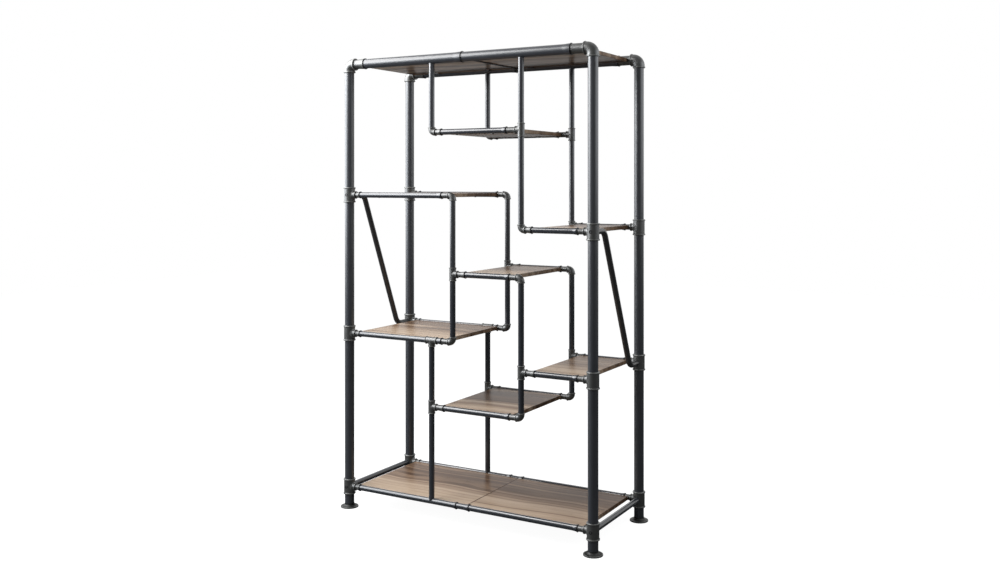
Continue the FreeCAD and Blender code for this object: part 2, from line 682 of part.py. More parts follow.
def brace(label, x, lower, upper):
    """Bent tube from the front post's upper tee down to the back post's lower tee."""
    rise = f"({upper} - {lower})"
    slope = f"atan({rise} / (post_spacing_depth - 2 * brace_corner_reach))"
    tangent = f"brace_bend * tan({slope} / 2)"
    front_corner = f"({FRONT} + brace_corner_reach)"
    back_corner = f"({BACK} - brace_corner_reach)"
    body = doc.addObject("PartDesign::Body", f"{label}_tube")
    spine = new_sketch(body, "spine", "YZ_Plane")
    path = [
        (f"{FRONT} + {SIDE_START}", rise),
        (f"{front_corner} - {tangent}", rise),
        (f"{front_corner} + {tangent} * cos({slope})", f"{rise} - {tangent} * sin({slope})"),
        (f"{back_corner} - {tangent} * cos({slope})", f"{tangent} * sin({slope})"),
        (f"{back_corner} + {tangent}", "0"),
        (f"{BACK} - {SIDE_START}", "0"),
    ]
    arcs = {
        1: (f"{front_corner} - {tangent}", f"{rise} - brace_bend", True, "y"),
        3: (f"{back_corner} + {tangent}", "brace_bend", False, "y"),
    }
    add_outline(spine, path, arcs, closed=False)
    section = new_sketch(body, "section", "XZ_Plane", f"-({FRONT} + {SIDE_START})")
    add_circle(section, SHELF_RADIUS, rise)
    add_circle(section, SHELF_BORE, rise)
    pipe = body.newObject("PartDesign::AdditivePipe", f"{label}_pipe")
    pipe.Profile = section
    pipe.Spine = spine
    cutters = [
        (UNTURNED, "0", FRONT, f"{rise} - tee_half_height"),
        (UNTURNED, "0", BACK, "-tee_half_height"),
    ]
    node(place(coped(label, body, TEE_RADIUS, POST_CUT, cutters), x, "0", lower), label)


bolt = cross_bolt()
plug = tube("end_plug", f"{SHELF_BORE} - fit_clearance", "bolt_od / 2 + fit_clearance", "plug_length")
bolts = []
plugs = []
for side, x in (("left", LEFT), ("right", RIGHT)):
    lower = f"{side}_lower_level"
    upper = f"{side}_upper_level"
    side_rail(f"{side}_side_rail", x)
    brace(f"{side}_brace", x, lower, upper)
    head = f"({TEE_RADIUS} - bolt_head_recess)"
    plug_start = f"({TEE_RADIUS} + plug_setback)"
    for level in ("bottom_level", upper):
        bolts.append(copy(bolt, x, f"{FRONT} - {head}", level))
        plugs.append(copy(plug, x, f"{FRONT} + {plug_start}", level, ALONG_Y))
    for level in ("bottom_level", lower):
        bolts.append(copy(bolt, x, f"{BACK} + {head}", level, FACING_LEFT))
        plugs.append(copy(plug, x, f"{BACK} - {plug_start}", level, AGAINST_Y))
group("cross_bolts", bolts)
group("end_plugs", plugs)

# Shelf boards between the rails, on tabs that are welded to them


def rail_tab(name, rail_radius):
    """Steel tab along +Y under a board's edge, in the frame of the rail that carries it."""
    plate = doc.addObject("Part::Box", f"{name}_plate")
    bind(plate, Length="tab_width", Width=f"{rail_radius} + tab_overhang", Height="tab_thickness")
    place(plate, "-tab_width / 2", "0", "-board_thickness / 2 - tab_thickness")
    return coped(name, plate, rail_radius, "2 * tab_width", [(ALONG_X, "-tab_width", "0", "0")])


shelf_tab = rail_tab("shelf_tab", SHELF_RADIUS)
top_tab = rail_tab("top_tab", POST_RADIUS)
tabs = []


def board(label, start, end, level, rail_radius, tab, bare, notch=None):
    """A board between the front and back rails of one level, with four tabs under it.

    Its long edges stand clear of the rails' bells, and a notch makes room for a tee on the rails. bare
    holds the ends of the rails' bare stretch, which carries the tabs.
    """
    length = f"({end} - ({start}))"
    edge = f"(post_spacing_depth / 2 - {rail_radius} - fit_clearance - bell_wall - board_clearance)"
    back_edge = [(length, edge), ("0", edge)]
    if notch:
        bead_radius = f"{SHELF_FITTING_RADIUS} + shelf_bead_height"
        floor = f"(post_spacing_depth / 2 - ({bead_radius}) - board_clearance)"
        middle = f"({notch} - ({start}))"
        near = f"{middle} - shelf_tee_half_height - board_clearance"
        far = f"{middle} + shelf_tee_half_height + board_clearance"
        back_edge[1:1] = [(far, edge), (far, floor), (near, floor), (near, edge)]
    front_edge = [(x, f"-{y}") for x, y in back_edge[::-1]]
    body = doc.addObject("PartDesign::Body", label)
    face = new_sketch(body, "face", "XY_Plane")
    add_outline(face, front_edge + back_edge)
    pad = body.newObject("PartDesign::Pad", f"{label}_pad")
    pad.Profile = face
    bind(pad, Length="board_thickness")
    node(place(body, start, "0", f"{level} - board_thickness / 2"), label)
    for share in TAB_PLACE_SHARES:
        x = f"{bare[0]} + {share} * ({bare[1]} - {bare[0]})"
        tabs.append(copy(tab, x, FRONT, level))
        tabs.append(copy(tab, x, BACK, level, FACING_LEFT))


def shelf_board(name, start, end, bare, notch=None):
    """A board whose ends stand clear of the fittings at two places."""
    first = f"{start} + board_end_inset"
    last = f"{end} - board_end_inset"
    board(f"{name}_board", first, last, f"{name}_level", SHELF_RADIUS, shelf_tab, bare, notch)


def bare_stretch(start, mouth, bell="bell_length"):
    """The ends of the bare tube between the mouths of two bells, of which the second faces away."""
    return start, f"({mouth} - {bell} - bell_taper)"


for name, start, start_mouth, end, end_mouth in SHELVES:
    shelf_board(name, start, end, bare_stretch(f"({start} + {start_mouth})", f"({end} - {end_mouth})"))
post_mouth = f"({LEFT} + {POST_MOUTH})"
shelf_board("left_lower", LEFT, MIDDLE, (post_mouth, f"({HANGER} - shelf_tee_half_height)"), notch=HANGER)

left_board = (f"{LEFT} + board_end_inset", "board_seam_offset - board_seam_gap / 2")
right_board = ("board_seam_offset + board_seam_gap / 2", f"{RIGHT} - board_end_inset")
bare = bare_stretch(f"({LEFT} + {TOP_MOUTH})", "0", "top_bell_length")
board("top_left_board", *left_board, "top_level", POST_RADIUS, top_tab, bare)
bare = bare_stretch("0", f"({RIGHT} - {TOP_MOUTH})", "top_bell_length")
board("top_right_board", *right_board, "top_level", POST_RADIUS, top_tab, bare)
bare = bare_stretch(post_mouth, LEFT_JOINT)
board("bottom_left_board", *left_board, "bottom_level", SHELF_RADIUS, shelf_tab, bare)
bare = bare_stretch(RIGHT_JOINT, f"({RIGHT} - {POST_MOUTH})")
board("bottom_right_board", *right_board, "bottom_level", SHELF_RADIUS, shelf_tab, bare)
group("shelf_tabs", tabs)

# Checks, then one file for each sub-part

doc.recompute()
failed = [thing.Name for thing in doc.Objects if {"Invalid", "Error"} & set(thing.State)]
if failed:
    raise RuntimeError(f"these objects failed: {failed}")
for thing in nodes:
    if thing.Shape.isNull() or not thing.Shape.isValid():
        raise RuntimeError(f"{thing.Label} has no valid shape")

os.makedirs("parts", exist_ok=True)
for thing in nodes:
    thing.Shape.exportStep(f"parts/{thing.Label}.step")
print(f"{len(nodes)} sub-parts, {sum(len(thing.Shape.Solids) for thing in nodes)} solids")
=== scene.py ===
# Looks of the pipe shelving unit: smooth pipework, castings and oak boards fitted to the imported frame.
import logging
import math
from dataclasses import dataclass, field, replace
from enum import Enum
from typing import ClassVar, Optional, Union

import bpy
import numpy as np
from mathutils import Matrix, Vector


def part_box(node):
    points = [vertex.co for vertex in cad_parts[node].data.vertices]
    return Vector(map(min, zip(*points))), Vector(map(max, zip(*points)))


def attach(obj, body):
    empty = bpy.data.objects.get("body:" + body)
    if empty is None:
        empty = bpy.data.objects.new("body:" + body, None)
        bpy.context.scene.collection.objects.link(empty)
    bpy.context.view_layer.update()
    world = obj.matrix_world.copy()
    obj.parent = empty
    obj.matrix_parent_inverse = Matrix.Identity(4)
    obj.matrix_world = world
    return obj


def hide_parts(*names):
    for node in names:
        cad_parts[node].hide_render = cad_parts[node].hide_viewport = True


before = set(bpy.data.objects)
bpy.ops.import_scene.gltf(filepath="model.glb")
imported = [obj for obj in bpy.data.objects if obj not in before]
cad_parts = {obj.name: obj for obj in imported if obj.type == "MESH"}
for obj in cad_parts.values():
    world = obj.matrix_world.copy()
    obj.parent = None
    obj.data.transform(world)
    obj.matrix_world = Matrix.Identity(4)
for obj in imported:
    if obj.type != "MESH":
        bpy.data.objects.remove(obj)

LOG = logging.getLogger("pipe_shelving")
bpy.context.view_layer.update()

Array = np.ndarray
Triple = tuple[float, float, float]
Colour = tuple[float, float, float, float]

# Sizes below are in metres, written as millimetres times this unit.
MM = 0.001
X_AXIS = np.array((1.0, 0.0, 0.0))
Y_AXIS = np.array((0.0, 1.0, 0.0))
Z_AXIS = np.array((0.0, 0.0, 1.0))

# Fineness of the meshes, and the names of the values that are stored in them.
SEGMENTS = 48
TURN = np.linspace(0.0, 2.0 * np.pi, SEGMENTS, endpoint=False)
TUBE_ROWS = 12
BOARD_ROWS = 24
EASE_ROWS = 6
CREASE_ANGLE = math.radians(38.0)
WEAR_ROWS = 4
WEAR_HEIGHT = 2.0 * MM
WEAR_NAME = "crest_wear"
GRAIN_NAME = "grain_place"
TONE_AND_SHADE_NAME = "board_tone"

# Middle of a noise's range, and the tint of the side lamps.
NOISE_MIDDLE = 0.5
COOL_WHITE = (0.92, 0.96, 1.0)


class Slot(Enum):
    """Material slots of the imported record."""

    POST = "post_tube"
    TUBE = "shelf_tube"
    CASTING = "cast_fitting"
    BOLT = "bolt_steel"
    TAB = "tab_steel"
    BOARD = "shelf_board"


class Joint(Enum):
    """How an arm of a casting meets its rail."""

    BELL = "bell"
    STUB = "stub"
    SOCKET = "socket"


class Ray(Enum):
    """Kinds of rays, by the names of Light Path's outputs."""

    CAMERA = "Is Camera Ray"
    GLOSSY = "Is Glossy Ray"
    CLEAR = "Is Transmission Ray"


# Shapes

def smooth_step(share: Array) -> Array:
    """Rises from 0 to 1 with level ends: 3 s^2 - 2 s^3, with s held between 0 and 1."""
    held = np.clip(share, 0.0, 1.0)
    return held * held * (3.0 - 2.0 * held)


def bump(share: Array) -> Array:
    """A round bead of height 1 between -1 and 1: the root of 1 - s^4, and 0 outside."""
    return np.sqrt(np.clip(1.0 - share**4, 0.0, 1.0))


def bead_rows(middle: float, half: float, count: int = 9) -> Array:
    """Places along a bead, closer together at its edges: middle - half * cos of an even half turn."""
    return middle - half * np.cos(np.linspace(0.0, np.pi, count))


def quarter_turn(count: int) -> Array:
    """Even angles from 0 to a quarter of a turn."""
    return np.linspace(0.0, np.pi / 2.0, count)


def turned(origin: Array, axis: Array, along: Array, radius: Array, up: Optional[Array] = None) -> Array:
    """Rings of a turned form: origin + a * axis + r * (cos v * side + sin v * up).

    Args:
        origin: A point of the axis.
        axis: Unit vector of the axis.
        along: Place a of each ring on the axis.
        radius: Radius r of each ring, or of each ring and angle.
        up: Unit vector across the axis from which the angle v is measured.

    Returns:
        Points in an array of rings, angles and coordinates.
    """
    if up is None:
        up = Y_AXIS if abs(axis[2]) > 0.5 else Z_AXIS
    side = np.cross(up, axis)
    ring = np.cos(TURN)[:, None] * side + np.sin(TURN)[:, None] * up
    return origin + along[:, None, None] * axis + radius.reshape(len(along), -1, 1) * ring


def cylinder(origin: Array, axis: Array, start: float, end: float, radius: float) -> Array:
    """Rings of a straight tube of one radius, evenly spaced from a start to an end on its axis."""
    along = np.linspace(start, end, TUBE_ROWS)
    return turned(origin, axis, along, np.full(TUBE_ROWS, radius))


def swept(path: Array, level: Array, radius: Array) -> Array:
    """Rings carried along a flat path: p + r * (cos v * (level x tangent) + sin v * level).

    Args:
        path: Points p of the centre line.
        level: Unit vector square to the path's plane.
        radius: Radius r at each point.

    Returns:
        Points in an array of rings, angles and coordinates.
    """
    tangent = np.gradient(path, axis=0)
    tangent /= np.linalg.norm(tangent, axis=1)[:, None]
    inward = np.cross(level, tangent)
    ring = np.cos(TURN)[None, :, None] * inward[:, None, :] + np.sin(TURN)[None, :, None] * level
    return path[:, None, :] + radius[:, None, None] * ring


def saddled(
    origin: Array, axis: Array, run: Array, run_radius: float, radius: float, fillet: float, narrow: float,
    count: int = 7,
) -> Array:
    """Rings of the fillet where a round arm leaves a round body.

    Over a quarter turn q the ring's radius is r + f (1 - sin q), and it stands sqrt(R^2 - y^2) +
    f (1 - cos q) from the body's axis, where y is the ring's own reach across that axis.

    Args:
        origin: The point where the two axes meet.
        axis: Unit vector of the arm.
        run: Unit vector of the body's axis.
        run_radius: Radius R of the body.
        radius: Radius r of the arm.
        fillet: Size f of the fillet.
        narrow: Share of the fillet that is left at the arm's sides.
        count: Number of rings.

    Returns:
        Points in an array of rings, angles and coordinates.
    """
    quarter = quarter_turn(count)[:, None]
    room = fillet * (narrow + (1.0 - narrow) * np.sin(TURN) ** 2)
    reach = radius + room * (1.0 - np.sin(quarter))
    sideways = reach * np.cos(TURN)
    depth = np.sqrt(np.clip(run_radius**2 - sideways**2, 0.0, None)) + room * (1.0 - np.cos(quarter))
    along = reach * np.sin(TURN)
    side = np.cross(run, axis)
    return origin + depth[..., None] * axis + sideways[..., None] * side + along[..., None] * run


def plank(low: Array, high: Array, ease: float, notch: Optional[Triple] = None) -> Array:
    """Rings of a board with eased edges, each ring a rounded rectangle across X.

    Towards each end the rectangle draws in by e (1 - sin q) over the last e of the length, which rounds
    the end's edges as a quarter turn q does.

    Args:
        low: Lowest corner.
        high: Highest corner.
        ease: Radius e of the edges.
        notch: Start, end and depth of a notch in both long edges, if the board has one.

    Returns:
        Points in an array of rings, corners and coordinates.
    """
    quarter = quarter_turn(EASE_ROWS)
    angle = np.concatenate([quarter + turn * np.pi / 2.0 for turn in range(4)])
    diagonal = np.repeat(np.arange(4) * np.pi / 2.0 + np.pi / 4.0, EASE_ROWS)
    span = np.linspace(low[0] + 2.0 * ease, high[0] - 2.0 * ease, BOARD_ROWS)
    depth = np.zeros_like(span)
    if notch is not None:
        start, end, cut = notch
        span = np.concatenate((span[span < start], (start, start, end, end), span[span > end]))
        depth = np.where((span >= start) & (span <= end), cut, 0.0)
        edge = np.flatnonzero(depth)
        depth[edge[[0, -1]]] = 0.0
    near = low[0] + ease * (1.0 - np.cos(quarter))
    draw = ease * (1.0 - np.sin(quarter))
    x = np.concatenate((near, span, low[0] + high[0] - near[::-1]))
    inset = np.concatenate((draw, np.zeros_like(span), draw[::-1]))
    cut_in = np.pad(depth, EASE_ROWS)
    middle = (low + high) / 2.0
    half_y = (high[1] - low[1]) / 2.0 - ease - cut_in
    half_z = (high[2] - low[2]) / 2.0 - ease
    round_off = (ease - inset)[:, None]
    y = middle[1] + np.sign(np.cos(diagonal)) * half_y[:, None] + round_off * np.cos(angle)
    z = middle[2] + np.sign(np.sin(diagonal)) * half_z + round_off * np.sin(angle)
    return np.stack((np.broadcast_to(x[:, None], y.shape), y, z), axis=-1)


def crest_wear(rings: Array) -> Array:
    """How far each ring stands out from those a few rows away, as a share of 2 mm.

    The ring's radius r is its points' mean distance from their centre, and its share is
    (r - (r before + r after) / 2) / 2 mm, held between 0 and 1.

    Args:
        rings: Array of rings, angles and coordinates.

    Returns:
        One share for each point.
    """
    radius = np.linalg.norm(rings - rings.mean(axis=1, keepdims=True), axis=2).mean(axis=1)
    padded = np.pad(radius, WEAR_ROWS, mode="edge")
    around = (padded[: -2 * WEAR_ROWS] + padded[2 * WEAR_ROWS:]) / 2.0
    share = np.clip((radius - around) / WEAR_HEIGHT, 0.0, 1.0)
    return np.repeat(share, rings.shape[1])


def joined_mesh(name: str, skins: list[Array]) -> bpy.types.Mesh:
    """A mesh of closed skins, each a stack of rings with a flat cap at both ends.

    Args:
        name: Name of the mesh.
        skins: Arrays of rings, angles and coordinates.

    Returns:
        The mesh, with smooth faces and creases where faces meet at a sharp angle.
    """
    points: list[Array] = []
    corners: list[Array] = []
    totals: list[Array] = []
    first = 0
    for rings in skins:
        rows, count, _ = rings.shape
        index = first + np.arange(rows * count).reshape(rows, count)
        after = np.roll(index, -1, axis=1)
        quads = np.stack((index[:-1], after[:-1], after[1:], index[1:]), axis=-1)
        points.append(rings.reshape(-1, 3))
        corners += [quads.ravel(), index[0][::-1], index[-1]]
        totals += [np.full((rows - 1) * count, 4), np.array((count, count))]
        first += rows * count
    every_point = np.concatenate(points)
    every_corner = np.concatenate(corners)
    every_total = np.concatenate(totals)
    mesh = bpy.data.meshes.new(name)
    mesh.vertices.add(len(every_point))
    mesh.vertices.foreach_set("co", every_point.astype(np.float32).ravel())
    mesh.loops.add(len(every_corner))
    mesh.loops.foreach_set("vertex_index", every_corner.astype(np.int32))
    mesh.polygons.add(len(every_total))
    mesh.polygons.foreach_set("loop_start", (np.cumsum(every_total) - every_total).astype(np.int32))
    mesh.polygons.foreach_set("loop_total", every_total.astype(np.int32))
    mesh.update(calc_edges=True)
    wear = mesh.attributes.new(WEAR_NAME, "FLOAT", "POINT")
    wear.data.foreach_set("value", np.concatenate([crest_wear(rings) for rings in skins]).astype(np.float32))
    mesh.shade_smooth()
    mesh.set_sharp_from_angle(angle=CREASE_ANGLE)
    return mesh


def add_object(name: str, data: bpy.types.ID) -> bpy.types.Object:
    """A new object at the scene's origin.

    Args:
        name: Name of the object.
        data: Its mesh, light or camera.

    Returns:
        The object.
    """
    made = bpy.data.objects.new(name, data)
    bpy.context.scene.collection.objects.link(made)
    return made


# Shader nodes

class Value:
    """A shader socket that takes part in Python sums, each of which adds a Math node."""

    def __init__(self, shader: "Shader", socket: bpy.types.NodeSocket) -> None:
        """Wraps one output socket of a shader."""
        self.shader = shader
        self.socket = socket

    def _math(self, operation: str, first: "Term", second: "Term") -> "Value":
        """One Math node on two terms."""
        return self.shader.node("ShaderNodeMath", {"operation": operation}, {0: first, 1: second})

    def __add__(self, other: "Term") -> "Value":
        """The sum."""
        return self._math("ADD", self, other)

    def __radd__(self, other: "Term") -> "Value":
        """The sum with a number on the left."""
        return self._math("ADD", other, self)

    def __sub__(self, other: "Term") -> "Value":
        """The difference."""
        return self._math("SUBTRACT", self, other)

    def __rsub__(self, other: "Term") -> "Value":
        """The difference from a number on the left."""
        return self._math("SUBTRACT", other, self)

    def __mul__(self, other: "Term") -> "Value":
        """The product."""
        return self._math("MULTIPLY", self, other)

    def __rmul__(self, other: "Term") -> "Value":
        """The product with a number on the left."""
        return self._math("MULTIPLY", other, self)

    def __pow__(self, other: "Term") -> "Value":
        """The power."""
        return self._math("POWER", self, other)

    def at_most(self, other: "Term") -> "Value":
        """The lesser of two values."""
        return self._math("MINIMUM", self, other)

    def at_least(self, other: "Term") -> "Value":
        """The greater of two values."""
        return self._math("MAXIMUM", self, other)


Term = Union[Value, float, int]


class Shader:
    """A node tree that is filled through one method, with short names for the nodes that it uses most."""

    def __init__(self, tree: bpy.types.NodeTree) -> None:
        """Starts from an empty tree."""
        self.tree = tree
        tree.nodes.clear()

    def node(
        self, kind: str, settings: Optional[dict] = None, inputs: Optional[dict] = None,
        output: Union[int, str] = 0,
    ) -> Value:
        """Adds a node.

        Args:
            kind: Blender's name of the node type.
            settings: Properties, set first; "stops" holds a ramp's places and colours.
            inputs: Values or links of the sockets, by name or number.
            output: The output to hand back.

        Returns:
            The wrapped output socket, or the node's first input where it has no output.
        """
        made = self.tree.nodes.new(kind)
        for name, value in (settings or {}).items():
            if name == "stops":
                ramp = made.color_ramp
                while len(ramp.elements) < len(value):
                    ramp.elements.new(1.0)
                for element, (place, colour) in zip(ramp.elements, value):
                    element.position = place
                    element.color = colour
            else:
                setattr(made, name, value)
        for name, value in (inputs or {}).items():
            if isinstance(value, Value):
                self.tree.links.new(value.socket, made.inputs[name])
            else:
                made.inputs[name].default_value = value
        return Value(self, made.outputs[output] if len(made.outputs) else made.inputs[0])

    def mix(self, share: Term, first: Union[Value, Colour], second: Union[Value, Colour]) -> Value:
        """A colour between two, by a share."""
        settings = {"data_type": "RGBA", "clamp_factor": True}
        return self.node("ShaderNodeMix", settings, {0: share, 6: first, 7: second}, output=2)

    def ramp(self, share: Value, stops: list[tuple[float, Colour]]) -> Value:
        """A colour from a ramp."""
        return self.node("ShaderNodeValToRGB", {"stops": stops}, {"Fac": share})

    def place(self) -> Value:
        """Object coordinates."""
        return self.node("ShaderNodeTexCoord", output="Object")

    def stretched(self, spot: Value, scale: Triple) -> Value:
        """A place scaled along each axis."""
        return self.node("ShaderNodeMapping", None, {"Vector": spot, "Scale": scale})

    def attribute(self, name: str, output: str = "Fac") -> Value:
        """A value that is stored in the mesh under a name."""
        return self.node("ShaderNodeAttribute", {"attribute_name": name}, output=output)

    def part(self, vector: Value, axis: str) -> Value:
        """One coordinate of a vector, by its axis letter."""
        return self.node("ShaderNodeSeparateXYZ", None, {"Vector": vector}, output=axis)

    def noise(self, spot: Value, scale: float = 1.0, detail: float = 3.0, rough: float = 0.5) -> Value:
        """Soft noise between 0 and 1."""
        inputs = {"Vector": spot, "Scale": scale, "Detail": detail, "Roughness": rough}
        return self.node("ShaderNodeTexNoise", None, inputs)

    def relief(self, strength: float, depth: float, height: Value) -> Value:
        """A bump for the Normal socket, with its depth in metres."""
        return self.node("ShaderNodeBump", None, {"Strength": strength, "Distance": depth, "Height": height})

    def principled(self, inputs: dict) -> Value:
        """A Principled surface."""
        return self.node("ShaderNodeBsdfPrincipled", None, inputs)

    def matt(self, level: float) -> Value:
        """A matt neutral surface."""
        return self.node("ShaderNodeBsdfDiffuse", None, {"Color": grey(level)})

    def backdrop(self, level: float) -> Value:
        """A neutral background, white at level 1."""
        return self.node("ShaderNodeBackground", None, {"Color": grey(1.0), "Strength": level})

    def fade(self, share: Term, first: Value, second: Value) -> Value:
        """The first surface, fading into the second by a share."""
        return self.node("ShaderNodeMixShader", None, {0: share, 1: first, 2: second})

    def ray(self, kind: Ray) -> Value:
        """1 for one kind of ray, and 0 for the others."""
        return self.node("ShaderNodeLightPath", output=kind.value)


def grey(level: float) -> Colour:
    """A neutral colour."""
    return (level, level, level, 1.0)


# Finishes

class Finish:
    """A named surface that can be made into a material."""

    name: str = "finish"

    def surface(self, shader: Shader) -> Value:
        """Adds the surface's nodes to a shader and hands back the output to show."""
        raise NotImplementedError

    def material(self) -> bpy.types.Material:
        """Makes the material at the first call, and finds it again later.

        Returns:
            The finished material.
        """
        found = bpy.data.materials.get(self.name)
        if found is not None:
            return found
        made = bpy.data.materials.new(self.name)
        made.use_nodes = True
        shader = Shader(made.node_tree)
        shader.node("ShaderNodeOutputMaterial", None, {"Surface": self.surface(shader)})
        return made


@dataclass(frozen=True)
class TubePaint(Finish):
    """Satin gunmetal paint on drawn tube: slow clouds of tone and a faint, even grain."""

    name: str = "gunmetal_tube_paint"
    dark: Colour = (0.019, 0.0215, 0.0265, 1.0)
    light: Colour = (0.027, 0.03, 0.037, 1.0)
    index: float = 1.7
    roughness: float = 0.18
    cloud_scale: float = 11.0
    cloud_sheen: float = 0.06
    grain: float = 0.01
    grain_depth: float = 0.2 * MM
    grain_scale: float = 900.0
    grain_sheen: float = 0.02

    def surface(self, shader: Shader) -> Value:
        """Blends two greys by the clouds, and varies the sheen with the clouds and the grain.

        Args:
            shader: The material's nodes.

        Returns:
            The painted surface.
        """
        cloud = shader.noise(shader.place(), self.cloud_scale, detail=2.0)
        fine = shader.noise(shader.place(), self.grain_scale, detail=2.0)
        sheen = (cloud - NOISE_MIDDLE) * self.cloud_sheen
        return shader.principled({
            "Base Color": shader.mix(cloud, self.dark, self.light),
            "IOR": self.index,
            "Roughness": self.roughness + sheen + (fine - NOISE_MIDDLE) * self.grain_sheen,
            "Normal": shader.relief(self.grain, self.grain_depth, fine),
        })


@dataclass(frozen=True)
class CastPaint(Finish):
    """Painted casting: a greenish dark grey with the grain of the sand mould and worn beads."""

    name: str = "painted_casting"
    dark: Colour = (0.013, 0.0138, 0.013, 1.0)
    light: Colour = (0.034, 0.0355, 0.033, 1.0)
    bare: Colour = (0.24, 0.245, 0.235, 1.0)
    index: float = 1.88
    roughness: float = 0.4
    cloud_scale: float = 38.0
    cloud_share: float = 0.7
    cloud_height: float = 0.6
    sand_scale: float = 420.0
    sand_share: float = 0.3
    sand_height: float = 0.5
    sand_sheen: float = 0.22
    grain: float = 0.2
    grain_depth: float = 0.4 * MM
    wear_start: float = 0.32
    wear_gain: float = 2.4
    wear_most: float = 0.8

    def surface(self, shader: Shader) -> Value:
        """Blends two greys by noise, rubs the beads' crests bright, and adds a bump of two grains.

        Args:
            shader: The material's nodes.

        Returns:
            The painted and worn surface.
        """
        cloud = shader.noise(shader.place(), self.cloud_scale, detail=4.0, rough=0.6)
        sand = shader.noise(shader.place(), self.sand_scale, detail=3.0, rough=0.6)
        crest = shader.attribute(WEAR_NAME)
        rubbed = ((cloud - self.wear_start) * crest * self.wear_gain).at_least(0.0).at_most(self.wear_most)
        paint = shader.mix(cloud * self.cloud_share + sand * self.sand_share, self.dark, self.light)
        height = cloud * self.cloud_height + sand * self.sand_height
        return shader.principled({
            "Base Color": shader.mix(rubbed, paint, self.bare),
            "Metallic": rubbed,
            "IOR": self.index,
            "Roughness": self.roughness + (sand - NOISE_MIDDLE) * self.sand_sheen,
            "Normal": shader.relief(self.grain, self.grain_depth, height),
        })


@dataclass(frozen=True)
class BlackSteel(Finish):
    """Blackened steel of bolts and screws; on the rolled lips of the bells and the seam bar its near black
    is painted shade.
    """

    name: str = "blackened_steel"
    colour: Colour = (0.008, 0.008, 0.009, 1.0)
    worn: Colour = (0.024, 0.024, 0.026, 1.0)
    metallic: float = 0.2
    gloss: float = 0.25
    roughness: float = 0.48
    cloud_scale: float = 260.0
    cloud_sheen: float = 0.2

    def surface(self, shader: Shader) -> Value:
        """Mottles a near black and its sheen by one noise.

        Args:
            shader: The material's nodes.

        Returns:
            The steel's surface.
        """
        cloud = shader.noise(shader.place(), self.cloud_scale)
        return shader.principled({
            "Base Color": shader.mix(cloud, self.colour, self.worn),
            "Metallic": self.metallic,
            "Specular IOR Level": self.gloss,
            "Roughness": self.roughness + (cloud - NOISE_MIDDLE) * self.cloud_sheen,
        })


